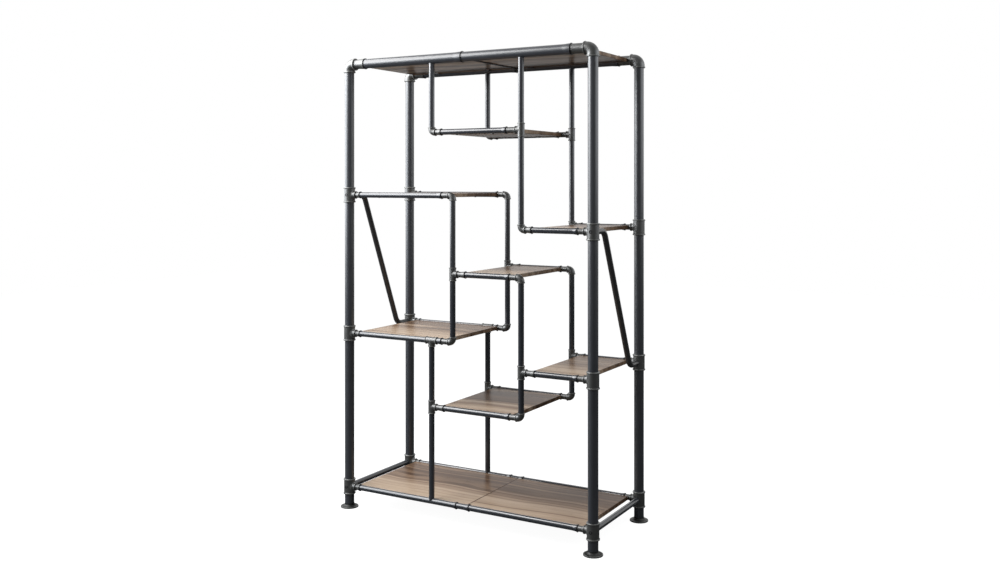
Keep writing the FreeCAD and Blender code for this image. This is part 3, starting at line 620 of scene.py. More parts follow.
@dataclass(frozen=True)
class OakLaminate(Finish):
    """Weathered oak with its grain along X under a thin satin lacquer."""

    name: str = "weathered_oak"
    dark: Colour = (0.072, 0.041, 0.025, 1.0)
    middle: Colour = (0.178, 0.114, 0.073, 1.0)
    light: Colour = (0.375, 0.283, 0.205, 1.0)
    dark_stop: float = 0.41
    middle_stop: float = 0.54
    light_stop: float = 0.73
    roughness: float = 0.31
    gloss: float = 0.06
    rings_a_metre: float = 22.0
    rings_down: float = 2.0
    ring_share: float = 0.7
    heart_place: float = 0.05
    heart_depth: float = 0.035
    heart_stretch: Triple = (1.3, 1.6, 1.6)
    drift: float = 0.22
    sink: float = 0.12
    sink_scale: float = 1.9
    cloud_stretch: Triple = (2.0, 7.0, 7.0)
    cloud_share: float = 0.3
    fibre_stretch: Triple = (5.0, 260.0, 260.0)
    fibre_share: float = 0.2
    fibre_height: float = 0.6
    fibre_sheen: float = 0.2
    pore_stretch: Triple = (26.0, 700.0, 700.0)
    pore_start: float = 0.62
    pore_gain: float = 2.2
    pore_sheen: float = 0.2
    # Painted light: each board is lighter towards its front edge and darker towards its back, where the
    # shelves above shade it.
    front_light_start: float = 0.15
    front_light_slope: float = 8.0
    front_light_wander: float = 0.12
    front_light_share: float = 0.23
    relief: float = 0.25
    relief_depth: float = 0.3 * MM

    def rings(self, shader: Shader, spot: Value) -> Value:
        """Growth rings of a plain-sawn board: 1D noise of the distance from a wandering heart.

        The distance is the root of (y - h)^2 + d^2, where the heart's place h and its depth d drift
        slowly along the board, so that the rings run out in long arches.

        Args:
            shader: The material's nodes.
            spot: Place on the board.

        Returns:
            The rings' tone between 0 and 1.
        """
        slow = shader.stretched(spot, self.heart_stretch)
        drift = shader.noise(slow, detail=1.0) - NOISE_MIDDLE
        sink = shader.noise(slow, self.sink_scale, detail=2.0) - NOISE_MIDDLE
        across = shader.part(spot, "Y") - self.heart_place + drift * self.drift
        depth = self.heart_depth + sink * self.sink
        distance = (across * across + depth * depth) ** 0.5
        along = distance * self.rings_a_metre + shader.part(spot, "Z") * self.rings_down
        inputs = {"W": along, "Scale": 1.0, "Detail": 5.0, "Roughness": 0.62}
        return shader.node("ShaderNodeTexNoise", {"noise_dimensions": "1D"}, inputs)

    def surface(self, shader: Shader) -> Value:
        """Mixes rings, clouds and fibres into a tone plus painted light at the front, and adds open pores.

        Args:
            shader: The material's nodes.

        Returns:
            The lacquered surface.
        """
        spot = shader.attribute(GRAIN_NAME, "Vector")
        clouds = shader.noise(shader.stretched(spot, self.cloud_stretch))
        fibre = shader.noise(shader.stretched(shader.place(), self.fibre_stretch), rough=0.6)
        pores = shader.noise(shader.stretched(shader.place(), self.pore_stretch), detail=1.0)
        # Painted light: front rises to 1 at the board's front edge and lightens the tone there.
        edge = shader.part(spot, "Y") + (clouds - NOISE_MIDDLE) * self.front_light_wander
        front = (self.front_light_start - edge * self.front_light_slope).at_least(0.0).at_most(1.0)
        figure = self.rings(shader, spot) * self.ring_share + clouds * self.cloud_share
        figure = figure + fibre * self.fibre_share
        # The stored board value adds each board's painted shade and its dark ends.
        tone = figure + front * self.front_light_share + shader.attribute(TONE_AND_SHADE_NAME)
        wood = shader.ramp(tone, [
            (self.dark_stop, self.dark), (self.middle_stop, self.middle), (self.light_stop, self.light),
        ])
        dots = (pores - self.pore_start).at_least(0.0) * self.pore_gain
        sheen = (fibre - NOISE_MIDDLE) * self.fibre_sheen
        return shader.principled({
            "Base Color": shader.mix(dots, wood, self.dark),
            "Roughness": self.roughness + sheen + dots * self.pore_sheen,
            "Specular IOR Level": self.gloss,
            "Normal": shader.relief(self.relief, self.relief_depth, fibre * self.fibre_height - dots),
        })


@dataclass(frozen=True)
class PaleFloor(Finish):
    """Floor that is white with a faint shadow to the camera and through glass, and dull elsewhere."""

    name: str = "pale_floor"
    pale: float = 0.9
    glow: float = 1.165
    glow_share: float = 0.82
    matt: float = 0.2
    dull: float = 0.08

    def surface(self, shader: Shader) -> Value:
        """Mixes a glow into a pale floor for the camera and through glass, and greys for other rays.

        Args:
            shader: The material's nodes.

        Returns:
            The floor's surface.
        """
        white = shader.node("ShaderNodeEmission", None, {"Color": grey(1.0), "Strength": self.glow})
        shown = shader.fade(self.glow_share, shader.matt(self.pale), white)
        unseen = shader.fade(shader.ray(Ray.GLOSSY), shader.matt(self.matt), shader.matt(self.dull))
        direct = shader.ray(Ray.CAMERA).at_least(shader.ray(Ray.CLEAR))
        return shader.fade(direct, unseen, shown)


TUBE_PAINT = TubePaint()
POST_PAINT = TubePaint(name="gunmetal_post_paint", roughness=0.34, grain=0.012)
BRACE_PAINT = TubePaint(
    name="dark_brace_paint", dark=(0.014, 0.0135, 0.014, 1.0), light=(0.024, 0.023, 0.023, 1.0),
    roughness=0.3, grain=0.03,
)
CAST_PAINT = CastPaint()
# Painted shade: the floor flanges get a darker copy of the casting paint, for the dimmer light near the
# floor.
SHADED_FOOT_PAINT = CastPaint(
    name="shaded_foot_paint", dark=(0.006, 0.0063, 0.006, 1.0), light=(0.015, 0.0156, 0.0146, 1.0), index=1.4,
    roughness=0.48,
)
BLACK_STEEL = BlackSteel()
OAK = OakLaminate()
PALE_FLOOR = PaleFloor()


def add_piece(name: str, skins: list[Array], finish: Finish, slot: Slot, *nodes: str) -> bpy.types.Object:
    """Makes a piece of the unit that rides on its frame.

    Args:
        name: Name of the piece.
        skins: Closed skins of the piece.
        finish: Its finish.
        slot: Material slot of the record that the finish stands for; not used.
        nodes: Frame nodes that the piece stands for.

    Returns:
        The new object.
    """
    mesh = joined_mesh(name, skins)
    mesh.materials.append(finish.material())
    piece = add_object(name, mesh)
    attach(piece, "root")
    if nodes:
        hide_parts(*nodes)
    LOG.info("%s: %d skins, %d faces, %s", name, len(skins), len(mesh.polygons), finish.name)
    return piece


def dress(node: str, skins: list[Array], finish: Finish, slot: Slot) -> bpy.types.Object:
    """The piece that stands for one node of the frame, named after it."""
    return add_piece(f"{node}_dressed", skins, finish, slot, node)


# Layout

@dataclass(frozen=True)
class Layout:
    """Axes, levels and radii of the unit, read from the frame."""

    left: float
    hanger: float
    middle: float
    inner: float
    right: float
    front: float
    back: float
    post_radius: float
    tube_radius: float
    level: dict[str, float]

    LEVEL_NODES: ClassVar[dict[str, str]] = {
        "top": "left_top_rails",
        "hanging": "hanging_shelf_rails",
        "left_upper": "left_upper_shelf_rails",
        "right_upper": "right_upper_shelf_rails",
        "centre": "centre_shelf_rails",
        "left_lower": "left_lower_outer_rails",
        "right_lower": "right_lower_shelf_rails",
        "low_centre": "low_centre_shelf_rails",
        "bottom": "left_bottom_rails",
    }

    @classmethod
    def from_frame(cls) -> "Layout":
        """Reads the boxes of the frame's tubes and rails.

        Returns:
            The layout in metres.
        """
        low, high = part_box("left_lower_posts")
        post_radius = (high.x - low.x) / 2.0
        thin_low, thin_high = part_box("middle_upper_uprights")
        return cls(
            left=cls.middle_of("left_lower_posts", 0),
            hanger=cls.middle_of("left_hangers", 0),
            middle=cls.middle_of("middle_upper_uprights", 0),
            inner=cls.middle_of("inner_upper_uprights", 0),
            right=cls.middle_of("right_lower_posts", 0),
            front=low.y + post_radius,
            back=high.y - post_radius,
            post_radius=post_radius,
            tube_radius=(thin_high.x - thin_low.x) / 2.0,
            level={name: cls.middle_of(node, 2) for name, node in cls.LEVEL_NODES.items()},
        )

    @staticmethod
    def middle_of(node: str, axis: int) -> float:
        """Middle of a node's box along an axis, by the axis's number."""
        low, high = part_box(node)
        return (low[axis] + high[axis]) / 2.0

    @property
    def rows(self) -> tuple[float, float]:
        """Y of the front and the back frame."""
        return self.front, self.back

    def corners(self) -> list[tuple[float, float]]:
        """X and Y of the four posts."""
        return [(x, y) for x in (self.left, self.right) for y in self.rows]


# Sub-assemblies

@dataclass
class Tubes:
    """Straight tubes: posts, nipples, uprights and side rails."""

    layout: Layout
    posts: tuple[str, ...] = (
        "foot_nipples", "left_lower_posts", "left_middle_posts", "left_upper_posts", "right_lower_posts",
        "right_middle_posts", "right_upper_posts",
    )
    uprights: tuple[str, ...] = (
        "left_hangers", "right_hangers", "right_hanger_extensions", "middle_upper_uprights",
        "middle_lower_uprights", "inner_upper_uprights", "inner_lower_uprights", "left_upper_uprights",
        "left_lower_uprights",
    )
    side_rails: tuple[str, ...] = ("left_side_rail", "right_side_rail")
    pair_width: float = 3.0

    def standing(self, node: str, radius: float) -> list[Array]:
        """Upright tubes of a node: a cylinder from its lowest to its highest point at each of its places.

        A node wider than the pair width, in radii, has tubes on both sides.

        Args:
            node: A node with a tube in both rows, or with tubes on both sides of both rows.
            radius: Radius of the tubes.

        Returns:
            One skin for each tube.
        """
        low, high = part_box(node)
        both_sides = high.x - low.x > self.pair_width * radius
        places = (low.x + radius, high.x - radius) if both_sides else ((low.x + high.x) / 2.0,)
        return [
            cylinder(np.array((x, y, 0.0)), Z_AXIS, low.z, high.z, radius)
            for x in places
            for y in self.layout.rows
        ]

    def build(self) -> None:
        """Adds the tubes."""
        at = self.layout
        for node in self.posts:
            dress(node, self.standing(node, at.post_radius), POST_PAINT, Slot.POST)
        for node in self.uprights:
            dress(node, self.standing(node, at.tube_radius), TUBE_PAINT, Slot.TUBE)
        for node in self.side_rails:
            low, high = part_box(node)
            origin = np.array((at.middle_of(node, 0), 0.0, at.middle_of(node, 2)))
            dress(node, [cylinder(origin, Y_AXIS, low.y, high.y, at.tube_radius)], TUBE_PAINT, Slot.TUBE)


@dataclass
class Flanges:
    """Trumpet-shaped floor flanges."""

    layout: Layout
    rim_height: float = 5.0 * MM
    rim_round: float = 1.6 * MM
    rim_rows: int = 7
    land: float = 4.0 * MM
    flare_rows: int = 14
    collar: float = 0.8 * MM
    turn_in: float = 1.0 * MM

    def profile(self, outer: float, top: float) -> tuple[Array, Array]:
        """A rounded rim, then a hollow curve up to the post.

        The curve is a quarter of an ellipse whose centre lies outside it, at the flange's height and the
        radius where the curve leaves the rim.

        Args:
            outer: Radius of the rim.
            top: Height of the flange.

        Returns:
            Heights, and the radius at each.
        """
        quarter = quarter_turn(self.rim_rows)
        rim_z = self.rim_height - self.rim_round * (1.0 - np.sin(quarter))
        rim_r = outer - self.rim_round * (1.0 - np.cos(quarter))
        sweep = quarter_turn(self.flare_rows)
        post = self.layout.post_radius
        foot = outer - self.land
        flare_r = foot - (foot - post) * np.sin(sweep)
        flare_z = self.rim_height + (top - self.rim_height) * (1.0 - np.cos(sweep))
        bottom_r = (outer - self.turn_in, outer)
        top_r = (post + self.collar, post - self.turn_in)
        heights = np.concatenate(((0.0, 0.0), rim_z, flare_z, (top, top)))
        return heights, np.concatenate((bottom_r, rim_r, flare_r, top_r))

    def build(self) -> None:
        """Adds the flanges."""
        outer = self.layout.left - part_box("foot_flanges")[0].x
        heights, radii = self.profile(outer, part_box("foot_nipples")[0].z)
        skins = [turned(np.array((x, y, 0.0)), Z_AXIS, heights, radii) for x, y in self.layout.corners()]
        dress("foot_flanges", skins, SHADED_FOOT_PAINT, Slot.CASTING)


@dataclass
class Bell:
    """The flared end of a pipe, whose mouth takes the next pipe."""

    length: float
    radius: float
    flare_share: float = 0.75
    flare_rows: int = 12
    mouth_gap: float = 0.2 * MM
    mouth_depth: float = 3.0 * MM
    lip_width: float = 3.4 * MM
    lip_height: float = 1.7 * MM
    lip_root: float = 1.0 * MM
    lip_rows: int = 11
    board_gap: float = 0.3 * MM

    def profile(self, straight: Array, tube_radius: float) -> tuple[Array, Array]:
        """A tube that swells smoothly up to the bell, and a short bore in the bell's mouth.

        Args:
            straight: Distances before the mouth of the rings that come before the bell.
            tube_radius: Radius of the tube.

        Returns:
            Distances before the mouth, which grow again inside the bore, and the radius at each.
        """
        flare = np.linspace(self.length, 0.0, self.flare_rows)
        before = np.concatenate((straight, flare, (0.0, self.mouth_depth)))
        share = (self.length - before) / (self.length * self.flare_share)
        radius = tube_radius + (self.radius - tube_radius) * smooth_step(share)
        radius[-2:] = tube_radius + self.mouth_gap
        return before, radius

    def lip(self, mouth: Array) -> Array:
        """The rolled lip at a mouth that faces +X: a round bead just behind it, flat beside the board.

        Args:
            mouth: The mouth's middle, in front of or behind the boards.

        Returns:
            Rings of the lip, none of which reach further towards the boards than a small gap allows.
        """
        half = self.lip_width / 2.0
        along = bead_rows(-half, half, self.lip_rows)
        swell = (self.lip_root + self.lip_height) * bump((along + half) / half)
        rings = turned(mouth, X_AXIS, along, self.radius - self.lip_root + swell)
        inward = -np.sign(mouth[1])
        reach = inward * (rings[..., 1] - mouth[1])
        rings[..., 1] = mouth[1] + inward * np.minimum(reach, self.radius + self.board_gap)
        return rings


@dataclass
class Rails:
    """Rails along X: each has a plain end on its left, and all but one pair have a bell on their right."""

    layout: Layout
    bell_length: float = 21.6 * MM
    top_bell_length: float = 36.6 * MM
    straight_rows: int = 9
    thin: tuple[str, ...] = (
        "hanging_shelf_rails", "left_upper_shelf_rails", "right_upper_shelf_rails", "centre_shelf_rails",
        "right_lower_shelf_rails", "low_centre_shelf_rails", "left_lower_inner_rails", "left_bottom_rails",
        "bottom_rail_couplings", "right_bottom_rails",
    )
    thick: tuple[str, ...] = ("left_top_rails", "right_top_rails")
    plain: str = "left_lower_outer_rails"
    lips: list[Array] = field(default_factory=list)

    def bell(self, node: str) -> Bell:
        """The bell of a node's rails: as wide as their box, and longer on the thick top rails.

        Args:
            node: A node of belled rails.

        Returns:
            Sizes of the bell.
        """
        low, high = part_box(node)
        length = self.top_bell_length if node in self.thick else self.bell_length
        return Bell(length=length, radius=(high.z - low.z) / 2.0)

    def belled(self, node: str, tube_radius: float) -> list[Array]:
        """A pair of rails along X, which swell to a bell at their right ends, and the lips of the bells.

        Args:
            node: A node of belled rails.
            tube_radius: Radius of the rails.

        Returns:
            One skin for each rail.
        """
        low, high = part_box(node)
        bell = self.bell(node)
        straight = np.linspace(high.x - low.x, bell.length, self.straight_rows, endpoint=False)
        before, radius = bell.profile(straight, tube_radius)
        skins = []
        for y in self.layout.rows:
            mouth = np.array((high.x, y, (low.z + high.z) / 2.0))
            skins.append(turned(mouth, X_AXIS, -before, radius))
            self.lips.append(bell.lip(mouth))
        return skins

    def build(self) -> None:
        """Adds the rails, the plain pair last."""
        for node in self.thin:
            dress(node, self.belled(node, self.layout.tube_radius), TUBE_PAINT, Slot.TUBE)
        for node in self.thick:
            dress(node, self.belled(node, self.layout.post_radius), POST_PAINT, Slot.POST)
        low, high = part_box(self.plain)
        radius = (high.z - low.z) / 2.0
        level = (low.z + high.z) / 2.0
        origins = [np.array((0.0, y, level)) for y in self.layout.rows]
        skins = [cylinder(origin, X_AXIS, low.x, high.x, radius) for origin in origins]
        dress(self.plain, skins, TUBE_PAINT, Slot.TUBE)


@dataclass
class Casting:
    """Beaded casting: a run with a bead at each mouth, and an arm with a bead, a neck and a joint."""

    run_radius: float
    run_half: float
    run_tube_radius: float
    bead_height: float
    bead_width: float
    arm_radius: float
    arm_reach: float
    arm_bead_height: float
    arm_bead_width: float
    tube_radius: float
    fillet: float
    narrow: float
    bell: Bell
    bead_lead: float = 1.0 * MM
    tuck_length: float = 2.0 * MM
    tuck_depth: float = 0.5 * MM
    bend_rows: int = 16

    def run(self, centre: Array, axis: Array) -> Array:
        """The run: its radius plus a bead at each end, closed in to the tube at both mouths.

        Args:
            centre: The middle of the run.
            axis: Unit vector along it.

        Returns:
            Rings of the run.
        """
        half_bead = self.bead_width / 2.0
        outer = self.run_half - half_bead
        upper = np.concatenate(((0.0, outer - half_bead - self.bead_lead), bead_rows(outer, half_bead)))
        along = np.concatenate((-upper[::-1], upper[1:]))
        radius = self.run_radius + self.bead_height * bump((np.abs(along) - outer) / half_bead)
        ends = np.array((self.run_half, self.run_half - self.tuck_length))
        inner = np.array((self.run_tube_radius, self.run_tube_radius - self.tuck_depth))
        along = np.concatenate((-ends[::-1], along, ends))
        return turned(centre, axis, along, np.concatenate((inner[::-1], radius, inner)))

    def arm_bead(self) -> Array:
        """Places of the rings along the arm's bead, which ends at the arm's reach."""
        half_bead = self.arm_bead_width / 2.0
        return bead_rows(self.arm_reach - half_bead, half_bead)

    def beaded(self, along: Array) -> Array:
        """The arm's own radius, plus the bead's height near its end.

        Args:
            along: Distances from the casting's centre.

        Returns:
            The radius at each distance.
        """
        half_bead = self.arm_bead_width / 2.0
        share = (along - self.arm_reach + half_bead) / half_bead
        return self.arm_radius + self.arm_bead_height * bump(share)

    def joint_profile(self, mouth: float, joint: Joint) -> tuple[Array, Array]:
        """A neck from the arm's bead to a bell's mouth or a stub's end, or a socket closed to its tube.

        Args:
            mouth: Distance of the neck's end from the casting's centre.
            joint: How the arm ends.

        Returns:
            Distances from the centre, and the radius at each.
        """
        if joint is Joint.BELL:
            before, radius = self.bell.profile(np.array((mouth - self.arm_reach,)), self.tube_radius)
            return mouth - before, radius
        if joint is Joint.STUB:
            return np.array((self.arm_reach, mouth)), np.full(2, self.tube_radius)
        tucked = np.array((self.arm_reach, self.arm_reach - self.tuck_length))
        return tucked, np.array((self.tube_radius, self.tube_radius - self.tuck_depth))

    def arm(self, centre: Array, axis: Array, run: Array, mouth: float, joint: Joint) -> Array:
        """The arm of a tee: a fillet out of the run, then the bead and the neck as one turned profile.

        Args:
            centre: The point where run and arm meet.
            axis: Unit vector of the arm.
            run: Unit vector of the run.
            mouth: Distance of the arm's end from the centre.
            joint: How the arm ends.

        Returns:
            Rings of the arm, the first of them inside the run.
        """
        bead = self.arm_bead()
        neck, neck_radius = self.joint_profile(mouth, joint)
        along = np.concatenate((bead, neck))
        radius = np.concatenate((self.beaded(bead), neck_radius))
        inside = turned(centre, axis, np.zeros(1), np.array((self.arm_radius,)), up=run)
        root = saddled(centre, axis, run, self.run_radius, self.arm_radius, self.fillet, self.narrow)
        return np.concatenate((inside, root, turned(centre, axis, along, radius, up=run)))

    def bend(self, centre: Array, axis: Array, leg: Array, bend_radius: float) -> Array:
        """The quarter bend of an elbow: a round section swept from its leg's mouth round to its arm's bead.

        The path runs straight from each mouth to the bend and turns about a centre at one bend radius
        along both axes. The beads are added to the section near both mouths.

        Args:
            centre: The point where leg and arm would meet.
            axis: Unit vector of the arm.
            leg: Unit vector of the leg.
            bend_radius: Radius of the bend's centre line.

        Returns:
            Rings of the bend, closed in to the tube at both mouths.
        """
        straight = np.concatenate((self.arm_bead()[::-1], (bend_radius,)))
        none = np.zeros_like(straight)
        quarter = quarter_turn(self.bend_rows)[1:-1]
        leg_part = np.concatenate((straight, bend_radius * (1.0 - np.sin(quarter)), none))
        axis_part = np.concatenate((none, bend_radius * (1.0 - np.cos(quarter)), straight[::-1]))
        radius = self.beaded(np.maximum(leg_part, axis_part))
        path = centre + leg_part[:, None] * leg + axis_part[:, None] * axis
        rings = swept(path, np.cross(leg, axis), radius)
        first, last = (
            path[end] + (rings[end] - path[end]) * (self.tube_radius / radius[end]) for end in (0, -1)
        )
        return np.concatenate((first[None], rings, last[None]))

    def neck(self, centre: Array, axis: Array, mouth: float, joint: Joint) -> Array:
        """The stub or belled stub that leaves an elbow's arm, from inside the arm's bead.

        Args:
            centre: The elbow's centre.
            axis: Unit vector of the arm.
            mouth: Distance of the neck's end from the centre.
            joint: How the arm ends.

        Returns:
            Rings of the neck.
        """
        neck, neck_radius = self.joint_profile(mouth, joint)
        along = np.concatenate(((self.arm_reach - self.arm_bead_width,), neck))
        return turned(centre, axis, along, np.concatenate(((self.tube_radius,), neck_radius)))


@dataclass
class Castings:
    """What the castings of the posts and of the shelf frames share: arms along X with a bell or a stub."""

    layout: Layout
    rails: Rails

    def joint(self, casting: Casting, centre: Array, sign: float, mouth: float) -> Joint:
        """How an arm ends: on the right with a bell, whose lip joins the rails' lips, else with a stub.

        Args:
            casting: Sizes of the casting.
            centre: The point where its axes meet.
            sign: 1 for an arm to the right, and -1 for one to the left.
            mouth: Distance of the arm's end from the centre.

        Returns:
            The joint.
        """
        if sign < 0.0:
            return Joint.STUB
        self.rails.lips.append(casting.bell.lip(centre + mouth * X_AXIS))
        return Joint.BELL

    def tee(self, casting: Casting, centre: Array, sign: float, mouth: float) -> list[Array]:
        """Skins of an upright run and its arm, with the arguments of the joint."""
        joint = self.joint(casting, centre, sign, mouth)
        return [casting.run(centre, Z_AXIS), casting.arm(centre, sign * X_AXIS, Z_AXIS, mouth, joint)]

    def elbow(
        self, casting: Casting, centre: Array, sign: float, mouth: float, rise: float, bend_radius: float,
    ) -> list[Array]:
        """Skins of an elbow's bend and its neck.

        Args:
            casting: Sizes of the casting.
            centre: The point where its axes meet.
            sign: 1 for an arm to the right, and -1 for one to the left.
            mouth: Distance of the arm's end from the centre.
            rise: 1 for a leg that goes up, and -1 for one that goes down.
            bend_radius: Radius of the bend's centre line.

        Returns:
            The two skins.
        """
        axis = sign * X_AXIS
        joint = self.joint(casting, centre, sign, mouth)
        bend = casting.bend(centre, axis, rise * Z_AXIS, bend_radius)
        return [bend, casting.neck(centre, axis, mouth, joint)]


@dataclass
class PostCastings(Castings):
    """Tees on the posts and the elbows at their tops."""

    bead_height: float = 2.25 * MM
    bead_width: float = 6.0 * MM
    arm_radius: float = 14.0 * MM
    arm_reach: float = 35.0 * MM
    arm_bead_height: float = 1.6 * MM
    arm_bead_width: float = 4.2 * MM
    fillet: float = 5.0 * MM
    narrow: float = 0.8
    top_bend: float = 24.0 * MM
    top_reach: float = 33.0 * MM

    def tee_sizes(self) -> Casting:
        """The post tee, with its bead's radius and its height taken from the frame.

        Returns:
            Sizes of the tee.
        """
        low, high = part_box("left_lower_post_tees")
        return Casting(
            run_radius=self.layout.left - low.x - self.bead_height,
            run_half=(high.z - low.z) / 2.0,
            run_tube_radius=self.layout.post_radius,
            bead_height=self.bead_height,
            bead_width=self.bead_width,
            arm_radius=self.arm_radius,
            arm_reach=self.arm_reach,
            arm_bead_height=self.arm_bead_height,
            arm_bead_width=self.arm_bead_width,
            tube_radius=self.layout.tube_radius,
            fillet=self.fillet,
            narrow=self.narrow,
            bell=self.rails.bell("left_bottom_rails"),
        )

    def elbow_sizes(self, tee: Casting) -> Casting:
        """The top elbow: an arm as thick as the tee's run, with the top rail's bell.

        Args:
            tee: Sizes of the post tee.

        Returns:
            Sizes of the elbow.
        """
        return replace(
            tee, arm_radius=tee.run_radius, arm_reach=self.top_reach, arm_bead_height=tee.bead_height,
            arm_bead_width=tee.bead_width, tube_radius=self.layout.post_radius,
            bell=self.rails.bell("left_top_rails"),
        )

    def mouth_of(self, node: str, x: float, sign: float) -> float:
        """How far a node's arms reach from their post's axis at x, to the right or left by the sign."""
        low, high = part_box(node)
        return high.x - x if sign > 0.0 else x - low.x

    def build(self) -> None:
        """Adds the tees at three levels of each side, and the elbows."""
        at = self.layout
        tee = self.tee_sizes()
        elbow = self.elbow_sizes(tee)
        for side, x, sign in (("left", at.left, 1.0), ("right", at.right, -1.0)):
            for place in ("bottom", "lower", "upper"):
                node = f"{side}_{place}_post_tees"
                mouth = self.mouth_of(node, x, sign)
                skins = []
                for y in at.rows:
                    skins += self.tee(tee, np.array((x, y, at.middle_of(node, 2))), sign, mouth)
                dress(node, skins, CAST_PAINT, Slot.CASTING)
            node = f"{side}_top_elbows"
            mouth = self.mouth_of(node, x, sign)
            skins = []
            for y in at.rows:
                centre = np.array((x, y, at.level["top"]))
                skins += self.elbow(elbow, centre, sign, mouth, -1.0, self.top_bend)
            dress(node, skins, CAST_PAINT, Slot.CASTING)


@dataclass
class ShelfCastings(Castings):
    """Small tees and elbows of the shelf frames."""

    body_radius: float = 13.15 * MM
    bead_height: float = 1.6 * MM
    bead_width: float = 4.2 * MM
    fillet: float = 3.5 * MM
    narrow: float = 0.0
    tee_half: float = 26.0 * MM
    tee_reach: float = 24.0 * MM
    tee_mouth: float = 60.0 * MM
    elbow_reach: float = 20.0 * MM
    elbow_bend: float = 14.5 * MM
    elbow_mouth: float = 47.5 * MM
    stub_entry: float = 15.0 * MM

    def sizes(self, reach: float) -> Casting:
        """A small casting, the same all round.

        Args:
            reach: How far its arm goes to the bead's outer end.

        Returns:
            Sizes of the casting.
        """
        return Casting(
            run_radius=self.body_radius,
            run_half=self.tee_half,
            run_tube_radius=self.layout.tube_radius,
            bead_height=self.bead_height,
            bead_width=self.bead_width,
            arm_radius=self.body_radius,
            arm_reach=reach,
            arm_bead_height=self.bead_height,
            arm_bead_width=self.bead_width,
            tube_radius=self.layout.tube_radius,
            fillet=self.fillet,
            narrow=self.narrow,
            bell=self.rails.bell("left_bottom_rails"),
        )

    def end_of(self, mouth: float, sign: float) -> float:
        """Where an arm ends: at its own mouth on the right, or inside a rail's bell on the left."""
        return mouth if sign > 0.0 else mouth + self.stub_entry

    def build(self) -> None:
        """Adds the elbows and the tees, two of which have their run along the rail."""
        at = self.layout
        elbow = self.sizes(self.elbow_reach)
        tee = self.sizes(self.tee_reach)
        elbows = (
            (at.hanger, "hanging", 1.0, 1.0), (at.inner, "right_upper", 1.0, 1.0),
            (at.middle, "left_upper", -1.0, -1.0), (at.inner, "centre", -1.0, -1.0),
            (at.middle, "left_lower", -1.0, 1.0), (at.inner, "low_centre", -1.0, 1.0),
        )
        tees = (
            (at.inner, "hanging", -1.0), (at.middle, "centre", 1.0), (at.inner, "right_lower", 1.0),
            (at.hanger, "low_centre", 1.0),
        )
        skins = []
        for x, level, sign, rise in elbows:
            mouth = self.end_of(self.elbow_mouth, sign)
            for y in at.rows:
                centre = np.array((x, y, at.level[level]))
                skins += self.elbow(elbow, centre, sign, mouth, rise, self.elbow_bend)
        dress("shelf_elbows", skins, CAST_PAINT, Slot.CASTING)
        skins = []
        for x, level, sign in tees:
            mouth = self.end_of(self.tee_mouth, sign)
            for y in at.rows:
                skins += self.tee(tee, np.array((x, y, at.level[level])), sign, mouth)
        for y in at.rows:
            centre = np.array((at.hanger, y, at.level["left_lower"]))
            skins += [tee.run(centre, X_AXIS), tee.arm(centre, -Z_AXIS, X_AXIS, 0.0, Joint.SOCKET)]
        dress("shelf_tees", skins, CAST_PAINT, Slot.CASTING)


@dataclass
class Braces:
    """Bent braces between the front upper and back lower tees of each side."""

    layout: Layout
    corner_reach: float = 95.0 * MM
    bend_radius: float = 40.0 * MM
    bend_rows: int = 10

    def path(self, side: str, x: float) -> Array:
        """The centre line: level, an arc down, a straight slope, an arc back to level.

        Each arc turns through the slope's angle s about a centre one bend radius r off the level run, and
        starts r * tan(s / 2) before the corner.

        Args:
            side: Side of the unit, as its nodes are named.
            x: Place of that side's posts.

        Returns:
            Points from the front to the back.
        """
        at = self.layout
        low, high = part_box(f"{side}_brace")
        top = at.level[f"{side}_upper"]
        bottom = at.level[f"{side}_lower"]
        front = at.front + self.corner_reach
        back = at.back - self.corner_reach
        slope = math.atan2(top - bottom, back - front)
        tangent = self.bend_radius * math.tan(slope / 2.0)
        turn = np.linspace(0.0, slope, self.bend_rows)
        y_arc = self.bend_radius * np.sin(turn)
        z_arc = self.bend_radius * (1.0 - np.cos(turn))
        y = np.concatenate(((low.y,), front - tangent + y_arc, back + tangent - y_arc[::-1], (high.y,)))
        z = np.concatenate(((top,), top - z_arc, bottom + z_arc[::-1], (bottom,)))
        return np.stack((np.full_like(y, x), y, z), axis=1)

    def build(self) -> None:
        """Adds both braces."""
        for side, x in (("left", self.layout.left), ("right", self.layout.right)):
            path = self.path(side, x)
            skin = swept(path, -X_AXIS, np.full(len(path), self.layout.tube_radius))
            dress(f"{side}_brace", [skin], BRACE_PAINT, Slot.TUBE)


@dataclass
class Bolts:
    """Cross bolts with a hexagon socket, whose heads lie in the tees."""

    layout: Layout
    head_radius: float = 6.5 * MM
    head_height: float = 4.0 * MM
    edge: float = 0.7 * MM
    socket_radius: float = 3.2 * MM
    socket_depth: float = 2.4 * MM
    closing: float = 0.0004
    proud: float = 1.5 * MM

    def head(self, spot: Array, axis: Array) -> Array:
        """A turned head with an eased rim, whose socket's radius follows a hexagon: s / cos of the angle.

        Args:
            spot: The middle of the head's face.
            axis: Unit vector from the face into the tee.

        Returns:
            Rings from the head's back over its face to the floor of its socket.
        """
        along = np.array((self.head_height, self.edge, 0.0, 0.0, self.socket_depth, self.socket_depth))
        full = np.full(SEGMENTS, self.head_radius)
        hexagon = self.socket_radius / np.cos(np.mod(TURN, np.pi / 3.0) - np.pi / 6.0)
        radius = np.stack((full, full, full - self.edge, hexagon, hexagon, hexagon * self.closing))
        return turned(spot, -axis, -along, radius)

    def build(self) -> None:
        """Adds the heads at the faces of the bolted tees."""
        at = self.layout
        low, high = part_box("cross_bolts")
        front = low.y - self.proud
        back = high.y + self.proud
        skins = []
        for x, side in ((at.left, "left"), (at.right, "right")):
            for level in (at.level["bottom"], at.level[f"{side}_upper"]):
                skins.append(self.head(np.array((x, front, level)), Y_AXIS))
            for level in (at.level["bottom"], at.level[f"{side}_lower"]):
                skins.append(self.head(np.array((x, back, level)), -Y_AXIS))
        add_piece("bolt_heads", skins, BLACK_STEEL, Slot.BOLT)


